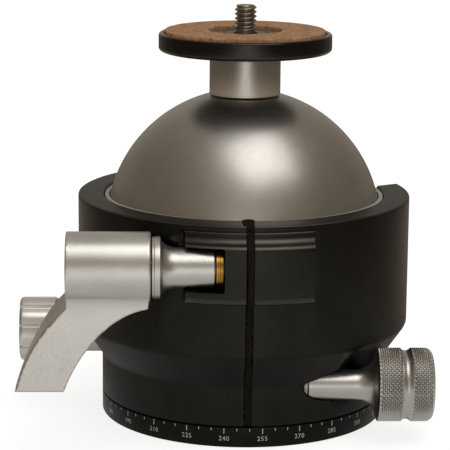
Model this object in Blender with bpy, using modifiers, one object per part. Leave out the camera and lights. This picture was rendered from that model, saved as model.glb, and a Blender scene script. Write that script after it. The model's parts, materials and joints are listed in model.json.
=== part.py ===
"""Tripod ball head with a split clamp collar, a clamp lever, a friction knob and a pan lock.

Metres, +Z up. The origin is the centre of the base's underside, where the tripod's screw goes in.
The clamp lever is at the front (-Y) on the left (-X), the friction knob at the left, and the
pan lock at the front on the right. The slot that lets the neck drop is at the right rear.
"""

import math

import bmesh
import bpy
from mathutils import Matrix, Vector

# Gaps and mesh fineness
GAP = 0.0003                # play between neighbouring pieces
OVERRUN = 0.004             # how far a cutter runs past what it cuts
FINE_STEPS = 45             # segments round the ball and the housing
MEDIUM_STEPS = 24           # segments round knobs and the hub
SMALL_STEPS = 12            # segments round screws and bores
MERGE = 0.00001
SHARP_ANGLE = math.radians(32)

# Pan base: a disc, a turret that the collar's skirt grips, and a spigot through its floor
WAIST_STEP = 0.0069         # how much narrower the base and the skirt are than the collar
BASE_THICKNESS = 0.0058
BASE_EDGE = 0.0004
TURRET_HEIGHT = 0.0042
SPIGOT_RADIUS = 0.0144
FLOOR_THICKNESS = 0.0017
BUSHING_RADIUS = 0.0070
THREAD_RADIUS = 0.0041      # tripod screw, 3/8 inch, at the crest of the bushing's thread
BUSHING_CHAMFER = 0.0006
BASE_SCREW_COUNT = 3
BASE_SCREW_CIRCLE = 0.0109
BASE_SCREW_RADIUS = 0.0015
BASE_SCREW_HEAD_RADIUS = 0.0027
BASE_SCREW_HEAD_HEIGHT = 0.0025
BASE_SCREW_DEPTH = 0.0005   # how far the heads lie inside the underside

# Pan bearing, retainer and the sprung seat under the ball
SKIRT_WALL = 0.0034         # skirt's wall outside the washer's recess
WASHER_WIDTH = 0.0097
WASHER_THICKNESS = 0.0015
WASHER_SINK = 0.0009        # depth of the washer's recess in the base
RETAINER_RADIUS = 0.0172
RETAINER_THICKNESS = 0.0015
SPRING_WIDTH = 0.0036
SPRING_THICKNESS = 0.0006
SPRING_WAVE = 0.00035
SPRING_WAVES = 3
SEAT_WIDTH = 0.0071
SEAT_EDGE_ANGLE = math.radians(32.405)  # from straight down to the seat's outer edge

# Ball and liner
BALL_RADIUS = 0.0401
BALL_UNDER_GAP = 0.0009     # space between the ball and the retainer
BALL_SPOT_RADIUS = 0.0111
STUD_RADIUS = 0.0040
STUD_IN_BALL = 0.0150
LINER_THICKNESS = 0.0012
LINER_BELOW_CENTRE = 0.0185
CAVITY_GAP = 0.0008         # space round the ball below the liner

# Clamp collar
COLLAR_WALL = 0.0064        # wall round the liner's pocket
RIM_ABOVE_CENTRE = 0.0100
RIM_EDGE = 0.0005
SHOULDER_ABOVE_WAIST = 0.0224
SHOULDER_ROUND = 0.0030
CONE_ANGLE = math.radians(34.5)
WAIST_ROUND = 0.0020
SLIT_WIDTH = 0.0022
DROP_SLOT_HALF = 0.0120
DROP_SLOT_ANGLE = math.radians(30)

# Raised clamp boss on the collar's front
BOSS_HALF_WIDTH = 0.0177
BOSS_OUT = 0.0047           # from the collar's wall to the boss's face
BOSS_SIDE_FILLET = 0.0014
BOSS_CORNER_ROUND = 0.0005
BOSS_FACE_BELOW_AXIS = 0.0076
BOSS_FACE_ABOVE_AXIS = 0.0054
BOSS_BOTTOM_ROUND = 0.0022
BOSS_TOP_ROUND = 0.0015
BOSS_LEDGE_ABOVE_AXIS = 0.0099
BOSS_LEDGE_DEPTH = 0.0010
BOSS_LEDGE_ROUND = 0.0005

# Clamp lever, its sleeve, washer and screw, all on one axis along X
CLAMP_BELOW_CENTRE = 0.0016
CLAMP_BACK_WALL = 0.00015   # metal left between the nose's window and the pocket, at least
LUG_THICKNESS = 0.0059      # from the slit to the washer's seat
BRASS_THICKNESS = 0.0020
BRASS_RADIUS = 0.0053
NOSE_RADIUS = 0.00545
NOSE_LENGTH = 0.0099
FLARE_LENGTH = 0.0049
FLANGE_RADIUS = 0.00856
FLANGE_LENGTH = 0.0022
HUB_RADIUS = 0.0098
HUB_LENGTH = 0.0230
HUB_EDGE = 0.0004
CLAMP_SCREW_RADIUS = 0.0030
CLAMP_HEAD_RADIUS = 0.0046
CLAMP_HEAD_HEIGHT = 0.0044
CLAMP_THREAD_LENGTH = 0.0116
WINDOW_SIDE_GAP = 0.0007
HUB_CLEARANCE = 0.0007
LEVER_DROP = 0.0325
LEVER_SWEEP = 0.0139
LEVER_TIP_WIDTH = 0.0135
ARM_ROOT_WALL = 0.0012      # from the screw head's bore down to where the arm starts in the hub
ARM_SWING_RADIUS = 0.0130   # hollow under the hub for the arm's back
EDGE_STEPS = 12
OUTER_EDGE_SHARES = [(0.00, 0.268), (0.32, 0.452), (0.734, 0.729), (1.00, 1.00)]
INNER_EDGE_SHARES = [(0.026, 0.314), (0.385, 0.345), (0.79, 0.606), (1.00, 1.00)]
FRONT_EDGE_SHARES = [(-0.707, 0.213), (-0.57, 0.255), (-0.66, 0.55), (-0.92, 1.00)]
BACK_EDGE_SHARES = [(0.707, 0.213), (0.90, 0.42), (0.62, 0.62), (-0.15, 1.00)]

# Friction knob, its sleeve, insert, screw and shoe, on one axis along X
SHOE_ABOVE_SEAT = 0.0006
FRICTION_SCREW_RADIUS = 0.0030
SHOE_RADIUS = 0.0022
SHOE_LENGTH = 0.0086
SHOE_IN_SCREW_BORE = 0.0006
INSERT_RADIUS = 0.0055
INSERT_LENGTH = 0.0044
SHOE_BORE_SPACE = 0.0016    # screw's travel between the insert and the shoe's bore
FRICTION_SLEEVE_RADIUS = 0.0067
FRICTION_SLEEVE_LENGTH = 0.0137
FRICTION_FLARE_RADIUS = 0.0086
FRICTION_FLARE_LENGTH = 0.0045
FRICTION_KNOB_RADIUS = 0.00945
FRICTION_KNOB_LENGTH = 0.0111
FRICTION_KNOB_EDGE = 0.0010
FRICTION_BORE_END = 0.0016  # metal left at the bottom of the knob's bore
LOBE_COUNT = 9
LOBE_GROOVE_RADIUS = 0.00075
LOBE_FIRST_ANGLE = math.radians(2.5)

# Pan lock, a pinch screw through the skirt, on one axis along X
PAN_LOCK_IN = 0.0076        # axis depth behind the skirt's outer wall
PAN_LOCK_ABOVE_SHELF = 0.0021
PAN_LOCK_SCREW_RADIUS = 0.0030
PAN_LOCK_THREAD_LENGTH = 0.0139
PAN_LOCK_SHOULDER = 0.0147  # from the slit to the washer's seat
PAN_LOCK_WASHER_THICKNESS = 0.0008
PAN_LOCK_STEM_RADIUS = 0.0042
PAN_LOCK_STEM_LENGTH = 0.0133
PAN_LOCK_FLARE_LENGTH = 0.0058
PAN_LOCK_FLARE_RADIUS = 0.0092
PAN_LOCK_KNOB_RADIUS = 0.0104
PAN_LOCK_KNOB_LENGTH = 0.0157
PAN_LOCK_KNOB_ROUND = 0.0022
PAN_LOCK_KNOB_INNER_ROUND = 0.0004
PAN_LOCK_GROOVE_START = 0.0066
PAN_LOCK_GROOVE_WIDTH = 0.0030
PAN_LOCK_GROOVE_DEPTH = 0.0008
PAN_LOCK_BORE_END = 0.0027
PAN_LOCK_RELIEF_GAP = 0.0014
GRUB_RADIUS = 0.0011
GRUB_ANGLE = math.radians(67)    # below the front

# Neck, camera platform and camera screw
NECK_RADIUS = 0.01027
NECK_LENGTH = 0.01227
NECK_EDGE = 0.0003
STUD_IN_NECK = 0.0053
SCREW_IN_NECK = 0.0051
PLATFORM_RADIUS = 0.0250
PLATFORM_THICKNESS = 0.0052
PLATFORM_TOP_EDGE = 0.0006
PLATFORM_BOTTOM_EDGE = 0.0009
PLATFORM_RIM = 0.0018       # platform left uncovered round the cork
CORK_THICKNESS = 0.0015
CORK_PROUD = 0.0009
CORK_HOLE_RADIUS = 0.0105
RING_WIDTH = 0.0064
RING_THICKNESS = 0.0007
CAMERA_SCREW_RADIUS = 0.003175  # 1/4 inch
CAMERA_SCREW_PROUD = 0.0072     # above the cork
CAMERA_SCREW_TIP = 0.0007

# Slit seal
SEAL_INSET = 0.0005

# Places that follow from the sizes above
LINER_INNER = BALL_RADIUS + GAP
LINER_OUTER = LINER_INNER + LINER_THICKNESS
POCKET_RADIUS = LINER_OUTER + GAP
CAVITY_RADIUS = BALL_RADIUS + CAVITY_GAP
COLLAR_RADIUS = POCKET_RADIUS + COLLAR_WALL
WAIST_RADIUS = COLLAR_RADIUS - WAIST_STEP
WASHER_OUTER = WAIST_RADIUS - SKIRT_WALL
TURRET_RADIUS = WASHER_OUTER - WASHER_WIDTH - GAP
BASE_TOP = BASE_THICKNESS
SKIRT_BOTTOM = BASE_TOP + GAP
WASHER_BOTTOM = BASE_TOP - WASHER_SINK + GAP
WASHER_RECESS_TOP = WASHER_BOTTOM + WASHER_THICKNESS + GAP
TURRET_TOP = BASE_TOP + TURRET_HEIGHT
FLOOR_UNDER = TURRET_TOP + GAP
FLOOR_TOP = FLOOR_UNDER + FLOOR_THICKNESS
RETAINER_BOTTOM = FLOOR_TOP + GAP
RETAINER_TOP = RETAINER_BOTTOM + RETAINER_THICKNESS
SHELF_Z = RETAINER_TOP + GAP
BALL_Z = RETAINER_TOP + BALL_UNDER_GAP + BALL_RADIUS
RIM_Z = BALL_Z + RIM_ABOVE_CENTRE
SHOULDER_Z = SKIRT_BOTTOM + SHOULDER_ABOVE_WAIST
SPRING_BOTTOM = SHELF_Z + GAP
SEAT_BOTTOM = SPRING_BOTTOM + SPRING_THICKNESS + 2 * SPRING_WAVE + GAP
SEAT_OUTER = LINER_INNER * math.sin(SEAT_EDGE_ANGLE)
SEAT_TOP = BALL_Z - LINER_INNER * math.cos(SEAT_EDGE_ANGLE)
SEAT_BORE = SEAT_OUTER + GAP
SPRING_OUTER = SEAT_OUTER - GAP / 2
BALL_SPOT_Z = math.sqrt(BALL_RADIUS ** 2 - BALL_SPOT_RADIUS ** 2)  # above the ball's centre
NECK_BOTTOM = BALL_SPOT_Z + GAP
NECK_TOP = NECK_BOTTOM + NECK_LENGTH
PLATFORM_BOTTOM = NECK_TOP + GAP
PLATFORM_TOP = PLATFORM_BOTTOM + PLATFORM_THICKNESS
CORK_RADIUS = PLATFORM_RADIUS - PLATFORM_RIM
CORK_TOP = PLATFORM_TOP + CORK_PROUD
CORK_BOTTOM = CORK_TOP - CORK_THICKNESS
CORK_RECESS_Z = CORK_BOTTOM - GAP
CLAMP_Y = -(POCKET_RADIUS + CLAMP_BACK_WALL + NOSE_RADIUS)
CLAMP_Z = BALL_Z - CLAMP_BELOW_CENTRE
LUG_X = -(SLIT_WIDTH / 2 + LUG_THICKNESS)
BRASS_X = LUG_X - GAP
NOSE_X = BRASS_X - BRASS_THICKNESS - GAP
FLARE_X = NOSE_X - NOSE_LENGTH
FLANGE_X = FLARE_X - FLARE_LENGTH
HUB_X = FLANGE_X - FLANGE_LENGTH - GAP
HUB_END_X = HUB_X - HUB_LENGTH
CLAMP_BORE = CLAMP_SCREW_RADIUS + GAP
CLAMP_SEAT_X = HUB_END_X + GAP + CLAMP_HEAD_HEIGHT
CLAMP_TIP_X = SLIT_WIDTH / 2 + CLAMP_THREAD_LENGTH
FRICTION_Z = SEAT_TOP + SHOE_RADIUS + SHOE_ABOVE_SEAT
BALL_AT_FRICTION = math.sqrt(LINER_INNER ** 2 - (BALL_Z - FRICTION_Z) ** 2)
SHOE_END_X = -(BALL_AT_FRICTION + SHOE_LENGTH)
SHOE_BORE_X = SHOE_END_X + SHOE_IN_SCREW_BORE
FRICTION_TIP_X = SHOE_END_X - GAP
INSERT_X = SHOE_BORE_X - SHOE_BORE_SPACE - GAP
INSERT_END_X = INSERT_X - INSERT_LENGTH
FRICTION_SLEEVE_X = INSERT_END_X - 2 * GAP
FRICTION_SLEEVE_END_X = FRICTION_SLEEVE_X - FRICTION_SLEEVE_LENGTH
FRICTION_KNOB_X = FRICTION_SLEEVE_END_X - GAP
FRICTION_KNOB_END_X = FRICTION_KNOB_X - FRICTION_KNOB_LENGTH
FRICTION_BORE = FRICTION_SCREW_RADIUS + GAP
PAN_LOCK_Y = -(WAIST_RADIUS - PAN_LOCK_IN)
PAN_LOCK_Z = SHELF_Z + PAN_LOCK_ABOVE_SHELF
PAN_LOCK_SEAT_X = SLIT_WIDTH / 2 + PAN_LOCK_SHOULDER
PAN_LOCK_WASHER_X = PAN_LOCK_SEAT_X + GAP
PAN_LOCK_STEM_X = PAN_LOCK_WASHER_X + PAN_LOCK_WASHER_THICKNESS + GAP
PAN_LOCK_FLARE_X = PAN_LOCK_STEM_X + PAN_LOCK_STEM_LENGTH
PAN_LOCK_FLARE_END_X = PAN_LOCK_FLARE_X + PAN_LOCK_FLARE_LENGTH
PAN_LOCK_KNOB_X = PAN_LOCK_FLARE_END_X + GAP
PAN_LOCK_KNOB_END_X = PAN_LOCK_KNOB_X + PAN_LOCK_KNOB_LENGTH
PAN_LOCK_TIP_X = -(SLIT_WIDTH / 2 + PAN_LOCK_THREAD_LENGTH)
PAN_LOCK_BORE = PAN_LOCK_SCREW_RADIUS + GAP
BOSS_RADIUS = COLLAR_RADIUS + BOSS_OUT
BOSS_FACE_Y = -BOSS_RADIUS
BOSS_CROWN_RADIUS = BOSS_RADIUS - BOSS_TOP_ROUND
BOSS_LEDGE_RADIUS = COLLAR_RADIUS + BOSS_LEDGE_DEPTH
BOSS_COVE = BOSS_CROWN_RADIUS - BOSS_LEDGE_RADIUS  # radius of the hollow between crown and ledge
BOSS_COVE_Z = CLAMP_Z + BOSS_FACE_ABOVE_AXIS + BOSS_TOP_ROUND + BOSS_COVE

# Turns that lay a local Z axis, or a flat outline, along the world's axes
ALONG_X = (0, math.pi / 2, 0)
PLAN = (0, 0, 0)
FRONT = (math.pi / 2, 0, 0)
SIDE = (math.pi / 2, 0, math.pi / 2)


def clear_scene():
    for old in list(bpy.data.objects):
        bpy.data.objects.remove(old, do_unlink=True)


def collection(name):
    made = bpy.data.collections.new(name)
    bpy.context.scene.collection.children.link(made)
    return made


def finish(name, colour, roughness, metallic):
    """A plain surface finish for one piece."""
    made = bpy.data.materials.new(name)
    made.use_nodes = True
    shader = made.node_tree.nodes["Principled BSDF"]
    shader.inputs["Base Color"].default_value = (*colour, 1)
    shader.inputs["Roughness"].default_value = roughness
    shader.inputs["Metallic"].default_value = metallic
    made.diffuse_color = (*colour, 1)
    return made


def pivot(name, place, parent=None):
    """An empty on a joint's axis."""
    made = bpy.data.objects.new(name, None)
    PARTS.objects.link(made)
    made.parent = parent
    made.location = Vector(place) - (parent.matrix_world.translation if parent else Vector())
    bpy.context.view_layer.update()
    return made


def put(thing, parent, place=(0, 0, 0), turn=(0, 0, 0)):
    thing.parent = parent
    thing.location = place
    thing.rotation_euler = turn
    return thing


def turned(name, profile, steps, closed=False):
    """A solid of revolution about local Z; the profile's outer side runs from top to bottom."""
    mesh = bpy.data.meshes.new(name)
    count = len(profile)
    edges = [(i, i + 1) for i in range(count - 1)]
    if closed:
        edges.append((count - 1, 0))
    mesh.from_pydata([(r, 0, z) for r, z in profile], edges, [])
    made = bpy.data.objects.new(name, mesh)
    screw = made.modifiers.new("turn", "SCREW")
    screw.axis = "Z"
    screw.steps = steps
    screw.render_steps = steps
    screw.use_merge_vertices = True
    screw.merge_threshold = MERGE
    return made


def rod(name, radius, low, high, steps=SMALL_STEPS):
    return turned(name, [(0, high), (radius, high), (radius, low), (0, low)], steps)


def tube(name, bore, radius, low, high, steps=SMALL_STEPS, edge=0):
    """A plain tube with both outer corners chamfered by edge."""
    profile = [(bore, high), (radius - edge, high)]
    if edge:
        profile += [(radius, high - edge), (radius, low + edge)]
    else:
        profile += [(radius, low)]
    profile += [(radius - edge, low), (bore, low)] if edge else [(bore, low)]
    return turned(name, profile, steps, closed=True)


def prism(name, outline, low, high, turn):
    """A flat outline given thickness from low to high along its normal."""
    curve = bpy.data.curves.new(name, "CURVE")
    curve.dimensions = "2D"
    curve.fill_mode = "BOTH"
    curve.extrude = abs(high - low) / 2
    spline = curve.splines.new("POLY")
    spline.points.add(len(outline) - 1)
    for point, (u, v) in zip(spline.points, outline):
        point.co = (u, v, 0, 1)
    spline.use_cyclic_u = True
    flat = bpy.data.objects.new(name, curve)
    bpy.context.scene.collection.objects.link(flat)
    graph = bpy.context.evaluated_depsgraph_get()
    mesh = bpy.data.meshes.new_from_object(flat.evaluated_get(graph))
    bpy.data.objects.remove(flat)
    shaped = bmesh.new()
    shaped.from_mesh(mesh)
    bmesh.ops.remove_doubles(shaped, verts=shaped.verts, dist=MERGE)
    bmesh.ops.recalc_face_normals(shaped, faces=shaped.faces)
    shaped.to_mesh(mesh)
    shaped.free()
    made = bpy.data.objects.new(name, mesh)
    middle = (low + high) / 2
    normal = {PLAN: (0, 0, middle), FRONT: (0, middle, 0), SIDE: (middle, 0, 0)}[turn]
    made.location = normal
    made.rotation_euler = turn
    return made


def box(name, low, high):
    """A box between two opposite corners."""
    shaped = bmesh.new()
    bmesh.ops.create_cube(shaped, size=1)
    size = Vector(high) - Vector(low)
    middle = (Vector(high) + Vector(low)) / 2
    place = Matrix.Translation(middle) @ Matrix.Diagonal((*size, 1))
    bmesh.ops.transform(shaped, matrix=place, verts=shaped.verts)
    mesh = bpy.data.meshes.new(name)
    shaped.to_mesh(mesh)
    shaped.free()
    return bpy.data.objects.new(name, mesh)


def arc(centre, radius, start, end, steps):
    """Points of an arc in a flat outline or a profile, angles in radians."""
    points = []
    for i in range(steps + 1):
        angle = start + (end - start) * i / steps
        points.append((centre[0] + radius * math.cos(angle), centre[1] + radius * math.sin(angle)))
    return points


def sphere_arc(radius, centre_z, z_from, z_to, steps):
    """Profile points on a sphere between two heights."""
    start = math.asin((z_from - centre_z) / radius)
    end = math.asin((z_to - centre_z) / radius)
    return arc((0, centre_z), radius, start, end, steps)


def swept_edge(points, steps):
    """A cubic curve through the first and last of four points, pulled by the middle two."""
    a, b, c, d = (Vector(p) for p in points)
    made = []
    for i in range(steps + 1):
        t = i / steps
        s = 1 - t
        made.append(tuple(a * s ** 3 + b * 3 * s * s * t + c * 3 * s * t * t + d * t ** 3))
    return made


def add(thing, material):
    """Files a piece in the model under its finish."""
    PARTS.objects.link(thing)
    thing.data.materials.append(material)
    return thing


def as_cutter(thing, parent=None, place=None, turn=None):
    CUTTERS.objects.link(thing)
    thing.parent = parent
    if place is not None:
        thing.location = place
    if turn is not None:
        thing.rotation_euler = turn
    thing.hide_render = True
    thing.display_type = "WIRE"
    return thing


def combine(thing, other, operation):
    modifier = thing.modifiers.new(other.name, "BOOLEAN")
    modifier.operation = operation
    modifier.solver = "EXACT"
    modifier.object = other


def cut(thing, *cutters):
    for cutter in cutters:
        combine(thing, cutter, "DIFFERENCE")


def settle(thing):
    """Turns the modifiers of a piece into its mesh and shades it."""
    bpy.context.view_layer.update()
    graph = bpy.context.evaluated_depsgraph_get()
    mesh = bpy.data.meshes.new_from_object(thing.evaluated_get(graph))
    mesh.name = thing.name
    thing.modifiers.clear()
    thing.data = mesh
    mesh.shade_smooth()
    mesh.set_sharp_from_angle(angle=SHARP_ANGLE)


def pan_base(metal):
    """Disc with the degree scale's edge, the turret and the spigot."""
    recess = WASHER_OUTER + GAP
    profile = [
        (BUSHING_RADIUS + GAP, FLOOR_TOP), (SPIGOT_RADIUS, FLOOR_TOP), (SPIGOT_RADIUS, TURRET_TOP),
        (TURRET_RADIUS, TURRET_TOP), (TURRET_RADIUS, BASE_TOP - WASHER_SINK), (recess, BASE_TOP - WASHER_SINK),
        (recess, BASE_TOP), (WAIST_RADIUS, BASE_TOP), (WAIST_RADIUS, BASE_EDGE), (WAIST_RADIUS - BASE_EDGE, 0),
        (BUSHING_RADIUS + GAP, 0),
    ]
    made = add(turned("pan_base", profile, FINE_STEPS, closed=True), metal)
    for i in range(BASE_SCREW_COUNT):
        angle = 2 * math.pi * i / BASE_SCREW_COUNT
        place = (BASE_SCREW_CIRCLE * math.cos(angle), BASE_SCREW_CIRCLE * math.sin(angle), 0)
        head_bore = BASE_SCREW_HEAD_RADIUS + GAP
        shank_bore = BASE_SCREW_RADIUS + GAP
        seat = BASE_SCREW_DEPTH + BASE_SCREW_HEAD_HEIGHT + GAP
        hole = turned(f"base_screw_hole_{i}", [
            (0, FLOOR_TOP + OVERRUN), (shank_bore, FLOOR_TOP + OVERRUN), (shank_bore, seat), (head_bore, seat),
            (head_bore, -OVERRUN), (0, -OVERRUN)], SMALL_STEPS)
        cut(made, as_cutter(hole, place=place))
    return made


def base_screws(steel):
    """Three screws that hold the retainer from below."""
    head_low = BASE_SCREW_DEPTH
    head_high = head_low + BASE_SCREW_HEAD_HEIGHT
    tip = RETAINER_TOP - 2 * GAP
    profile = [(0, tip), (BASE_SCREW_RADIUS, tip), (BASE_SCREW_RADIUS, head_high),
               (BASE_SCREW_HEAD_RADIUS, head_high), (BASE_SCREW_HEAD_RADIUS, head_low), (0, head_low)]
    for i in range(BASE_SCREW_COUNT):
        one = turned(f"base_screw_{i + 1}", profile, SMALL_STEPS)
        angle = 2 * math.pi * i / BASE_SCREW_COUNT
        add(one, steel).location = (BASE_SCREW_CIRCLE * math.cos(angle), BASE_SCREW_CIRCLE * math.sin(angle), 0)


def pan_retainer(steel):
    made = add(turned("pan_retainer", [
        (0, RETAINER_TOP), (RETAINER_RADIUS, RETAINER_TOP), (RETAINER_RADIUS, RETAINER_BOTTOM),
        (0, RETAINER_BOTTOM)], MEDIUM_STEPS), steel)
    for i in range(BASE_SCREW_COUNT):
        angle = 2 * math.pi * i / BASE_SCREW_COUNT
        place = (BASE_SCREW_CIRCLE * math.cos(angle), BASE_SCREW_CIRCLE * math.sin(angle), 0)
        hole = rod(f"retainer_hole_{i}", BASE_SCREW_RADIUS + GAP, RETAINER_BOTTOM - OVERRUN,
                   RETAINER_TOP + OVERRUN)
        cut(made, as_cutter(hole, place=place))
    return made


def cone_foot():
    """Top of the skirt's small fillet and the height where the skirt's plain wall begins."""
    drop = (COLLAR_RADIUS - SHOULDER_ROUND * (1 - math.cos(CONE_ANGLE))) - (
        WAIST_RADIUS + WAIST_ROUND * (1 - math.cos(CONE_ANGLE)))
    z = SHOULDER_Z - SHOULDER_ROUND * math.sin(CONE_ANGLE) - drop / math.tan(CONE_ANGLE)
    return z - WAIST_ROUND * math.sin(CONE_ANGLE)


def collar_wall():
    """Outer side of the collar from the rim down to the seam."""
    foot = cone_foot()
    wall = [(COLLAR_RADIUS - RIM_EDGE, RIM_Z), (COLLAR_RADIUS, RIM_Z - RIM_EDGE)]
    wall += arc((COLLAR_RADIUS - SHOULDER_ROUND, SHOULDER_Z), SHOULDER_ROUND, 0, -CONE_ANGLE, 3)
    wall += arc((WAIST_RADIUS + WAIST_ROUND, foot), WAIST_ROUND, math.pi - CONE_ANGLE, math.pi, 2)
    wall += [(WAIST_RADIUS, SKIRT_BOTTOM)]
    return wall


def boss():
    """Raised block on the collar's front: turned with the collar, with side fillets and a moulded top edge."""
    low_z = CLAMP_Z - BOSS_FACE_BELOW_AXIS
    top_z = CLAMP_Z + BOSS_FACE_ABOVE_AXIS
    bottom = low_z - BOSS_BOTTOM_ROUND
    ledge = CLAMP_Z + BOSS_LEDGE_ABOVE_AXIS
    inner_radius = (COLLAR_RADIUS + POCKET_RADIUS) / 2
    lip = (BOSS_LEDGE_RADIUS - BOSS_LEDGE_ROUND, ledge - BOSS_LEDGE_ROUND)
    profile = [(inner_radius, ledge)] + arc(lip, BOSS_LEDGE_ROUND, math.pi / 2, 0, 2)
    profile += arc((BOSS_CROWN_RADIUS, BOSS_COVE_Z), BOSS_COVE, math.pi, 3 * math.pi / 2, 4)
    profile += arc((BOSS_CROWN_RADIUS, top_z), BOSS_TOP_ROUND, math.pi / 2, 0, 3)[1:]
    profile += arc((BOSS_RADIUS - BOSS_BOTTOM_ROUND, low_z), BOSS_BOTTOM_ROUND, 0, -math.pi / 2, 3)
    profile.append((inner_radius, bottom))
    block = turned("clamp_boss", profile, 2 * FINE_STEPS, closed=True)
    corner_x = BOSS_HALF_WIDTH - BOSS_CORNER_ROUND
    corner_y = -math.sqrt((BOSS_RADIUS - BOSS_CORNER_ROUND) ** 2 - corner_x ** 2)
    corner_start = math.atan2(corner_y, corner_x)
    fillet_x = BOSS_HALF_WIDTH + BOSS_SIDE_FILLET
    fillet_y = -math.sqrt((COLLAR_RADIUS + BOSS_SIDE_FILLET) ** 2 - fillet_x ** 2)
    turn_end = math.atan2(-fillet_y, -fillet_x)
    right = [(corner_x + BOSS_CORNER_ROUND * math.cos(corner_start), BOSS_FACE_Y - OVERRUN)]
    right += arc((corner_x, corner_y), BOSS_CORNER_ROUND, corner_start, 0, 3)
    right += arc((fillet_x, fillet_y), BOSS_SIDE_FILLET, math.pi, turn_end, 4)
    lean = math.atan2(-right[-1][0], -right[-1][1])
    inner = [(-POCKET_RADIUS * math.sin(lean * s), -POCKET_RADIUS * math.cos(lean * s)) for s in (1, 0.5, 0)]
    half = right + inner[:-1]
    outline = half + [inner[-1]] + [(-x, y) for x, y in reversed(half)]
    plan = prism("boss_plan", outline, bottom - OVERRUN, ledge + OVERRUN, PLAN)
    as_cutter(plan)
    as_cutter(block)
    combine(block, plan, "INTERSECT")
    return block


def drop_slot(name, half_width):
    """U-shaped slot that the neck drops into, leaning outwards at DROP_SLOT_ANGLE."""
    top = RIM_Z + OVERRUN
    outline = arc((0, BALL_Z), half_width, -math.pi, 0, MEDIUM_STEPS)
    outline += [(half_width, top), (-half_width, top)]
    inner = POCKET_RADIUS - 4 * OVERRUN
    outer = COLLAR_RADIUS + OVERRUN
    slot = prism(name, outline, inner, outer, SIDE)
    slot.rotation_euler = (math.pi / 2, 0, math.pi / 2 + DROP_SLOT_ANGLE)
    middle = (inner + outer) / 2
    slot.location = (middle * math.cos(DROP_SLOT_ANGLE), middle * math.sin(DROP_SLOT_ANGLE), 0)
    return as_cutter(slot)


def lever_scoop():
    """Hollow in the collar that clears the lever's hub and sleeve."""
    wide = HUB_RADIUS + HUB_CLEARANCE
    window_half = NOSE_RADIUS + WINDOW_SIDE_GAP
    outside = HUB_END_X - OVERRUN
    profile = [
        (0, FLARE_X + HUB_CLEARANCE), (window_half, FLARE_X + HUB_CLEARANCE),
        (window_half + HUB_CLEARANCE, FLARE_X), (FLANGE_RADIUS + HUB_CLEARANCE, FLANGE_X + HUB_CLEARANCE),
        (wide, HUB_X + HUB_CLEARANCE), (wide, outside), (0, outside)]
    return as_cutter(turned("lever_scoop", profile, MEDIUM_STEPS), place=(0, CLAMP_Y, CLAMP_Z), turn=ALONG_X)


def arm_scoop():
    """Quarter hollow behind and below the hub, where the arm's back swings."""
    outline = arc((0, 0), ARM_SWING_RADIUS, -math.pi / 2, 0, 8) + [(0, 0)]
    hollow = prism("arm_scoop", outline, HUB_END_X - LEVER_SWEEP, HUB_X + HUB_CLEARANCE, SIDE)
    return as_cutter(hollow, parent=CLAMP)


def pan_lock_relief():
    """Hollow in the cone and the skirt that clears the pan lock's knob."""
    wide = PAN_LOCK_KNOB_RADIUS + PAN_LOCK_RELIEF_GAP
    narrow = PAN_LOCK_STEM_RADIUS + GAP
    depth = wide - narrow
    outside = PAN_LOCK_KNOB_END_X
    start = PAN_LOCK_FLARE_END_X - PAN_LOCK_FLARE_LENGTH / 2
    profile = [(0, outside), (wide, outside)]
    profile += arc((narrow, start), depth, 0, -math.pi / 2, 5)
    profile += [(0, start - depth)]
    hollow = turned("pan_lock_relief", profile, MEDIUM_STEPS)
    return as_cutter(hollow, place=(0, PAN_LOCK_Y, PAN_LOCK_Z), turn=ALONG_X)


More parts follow.
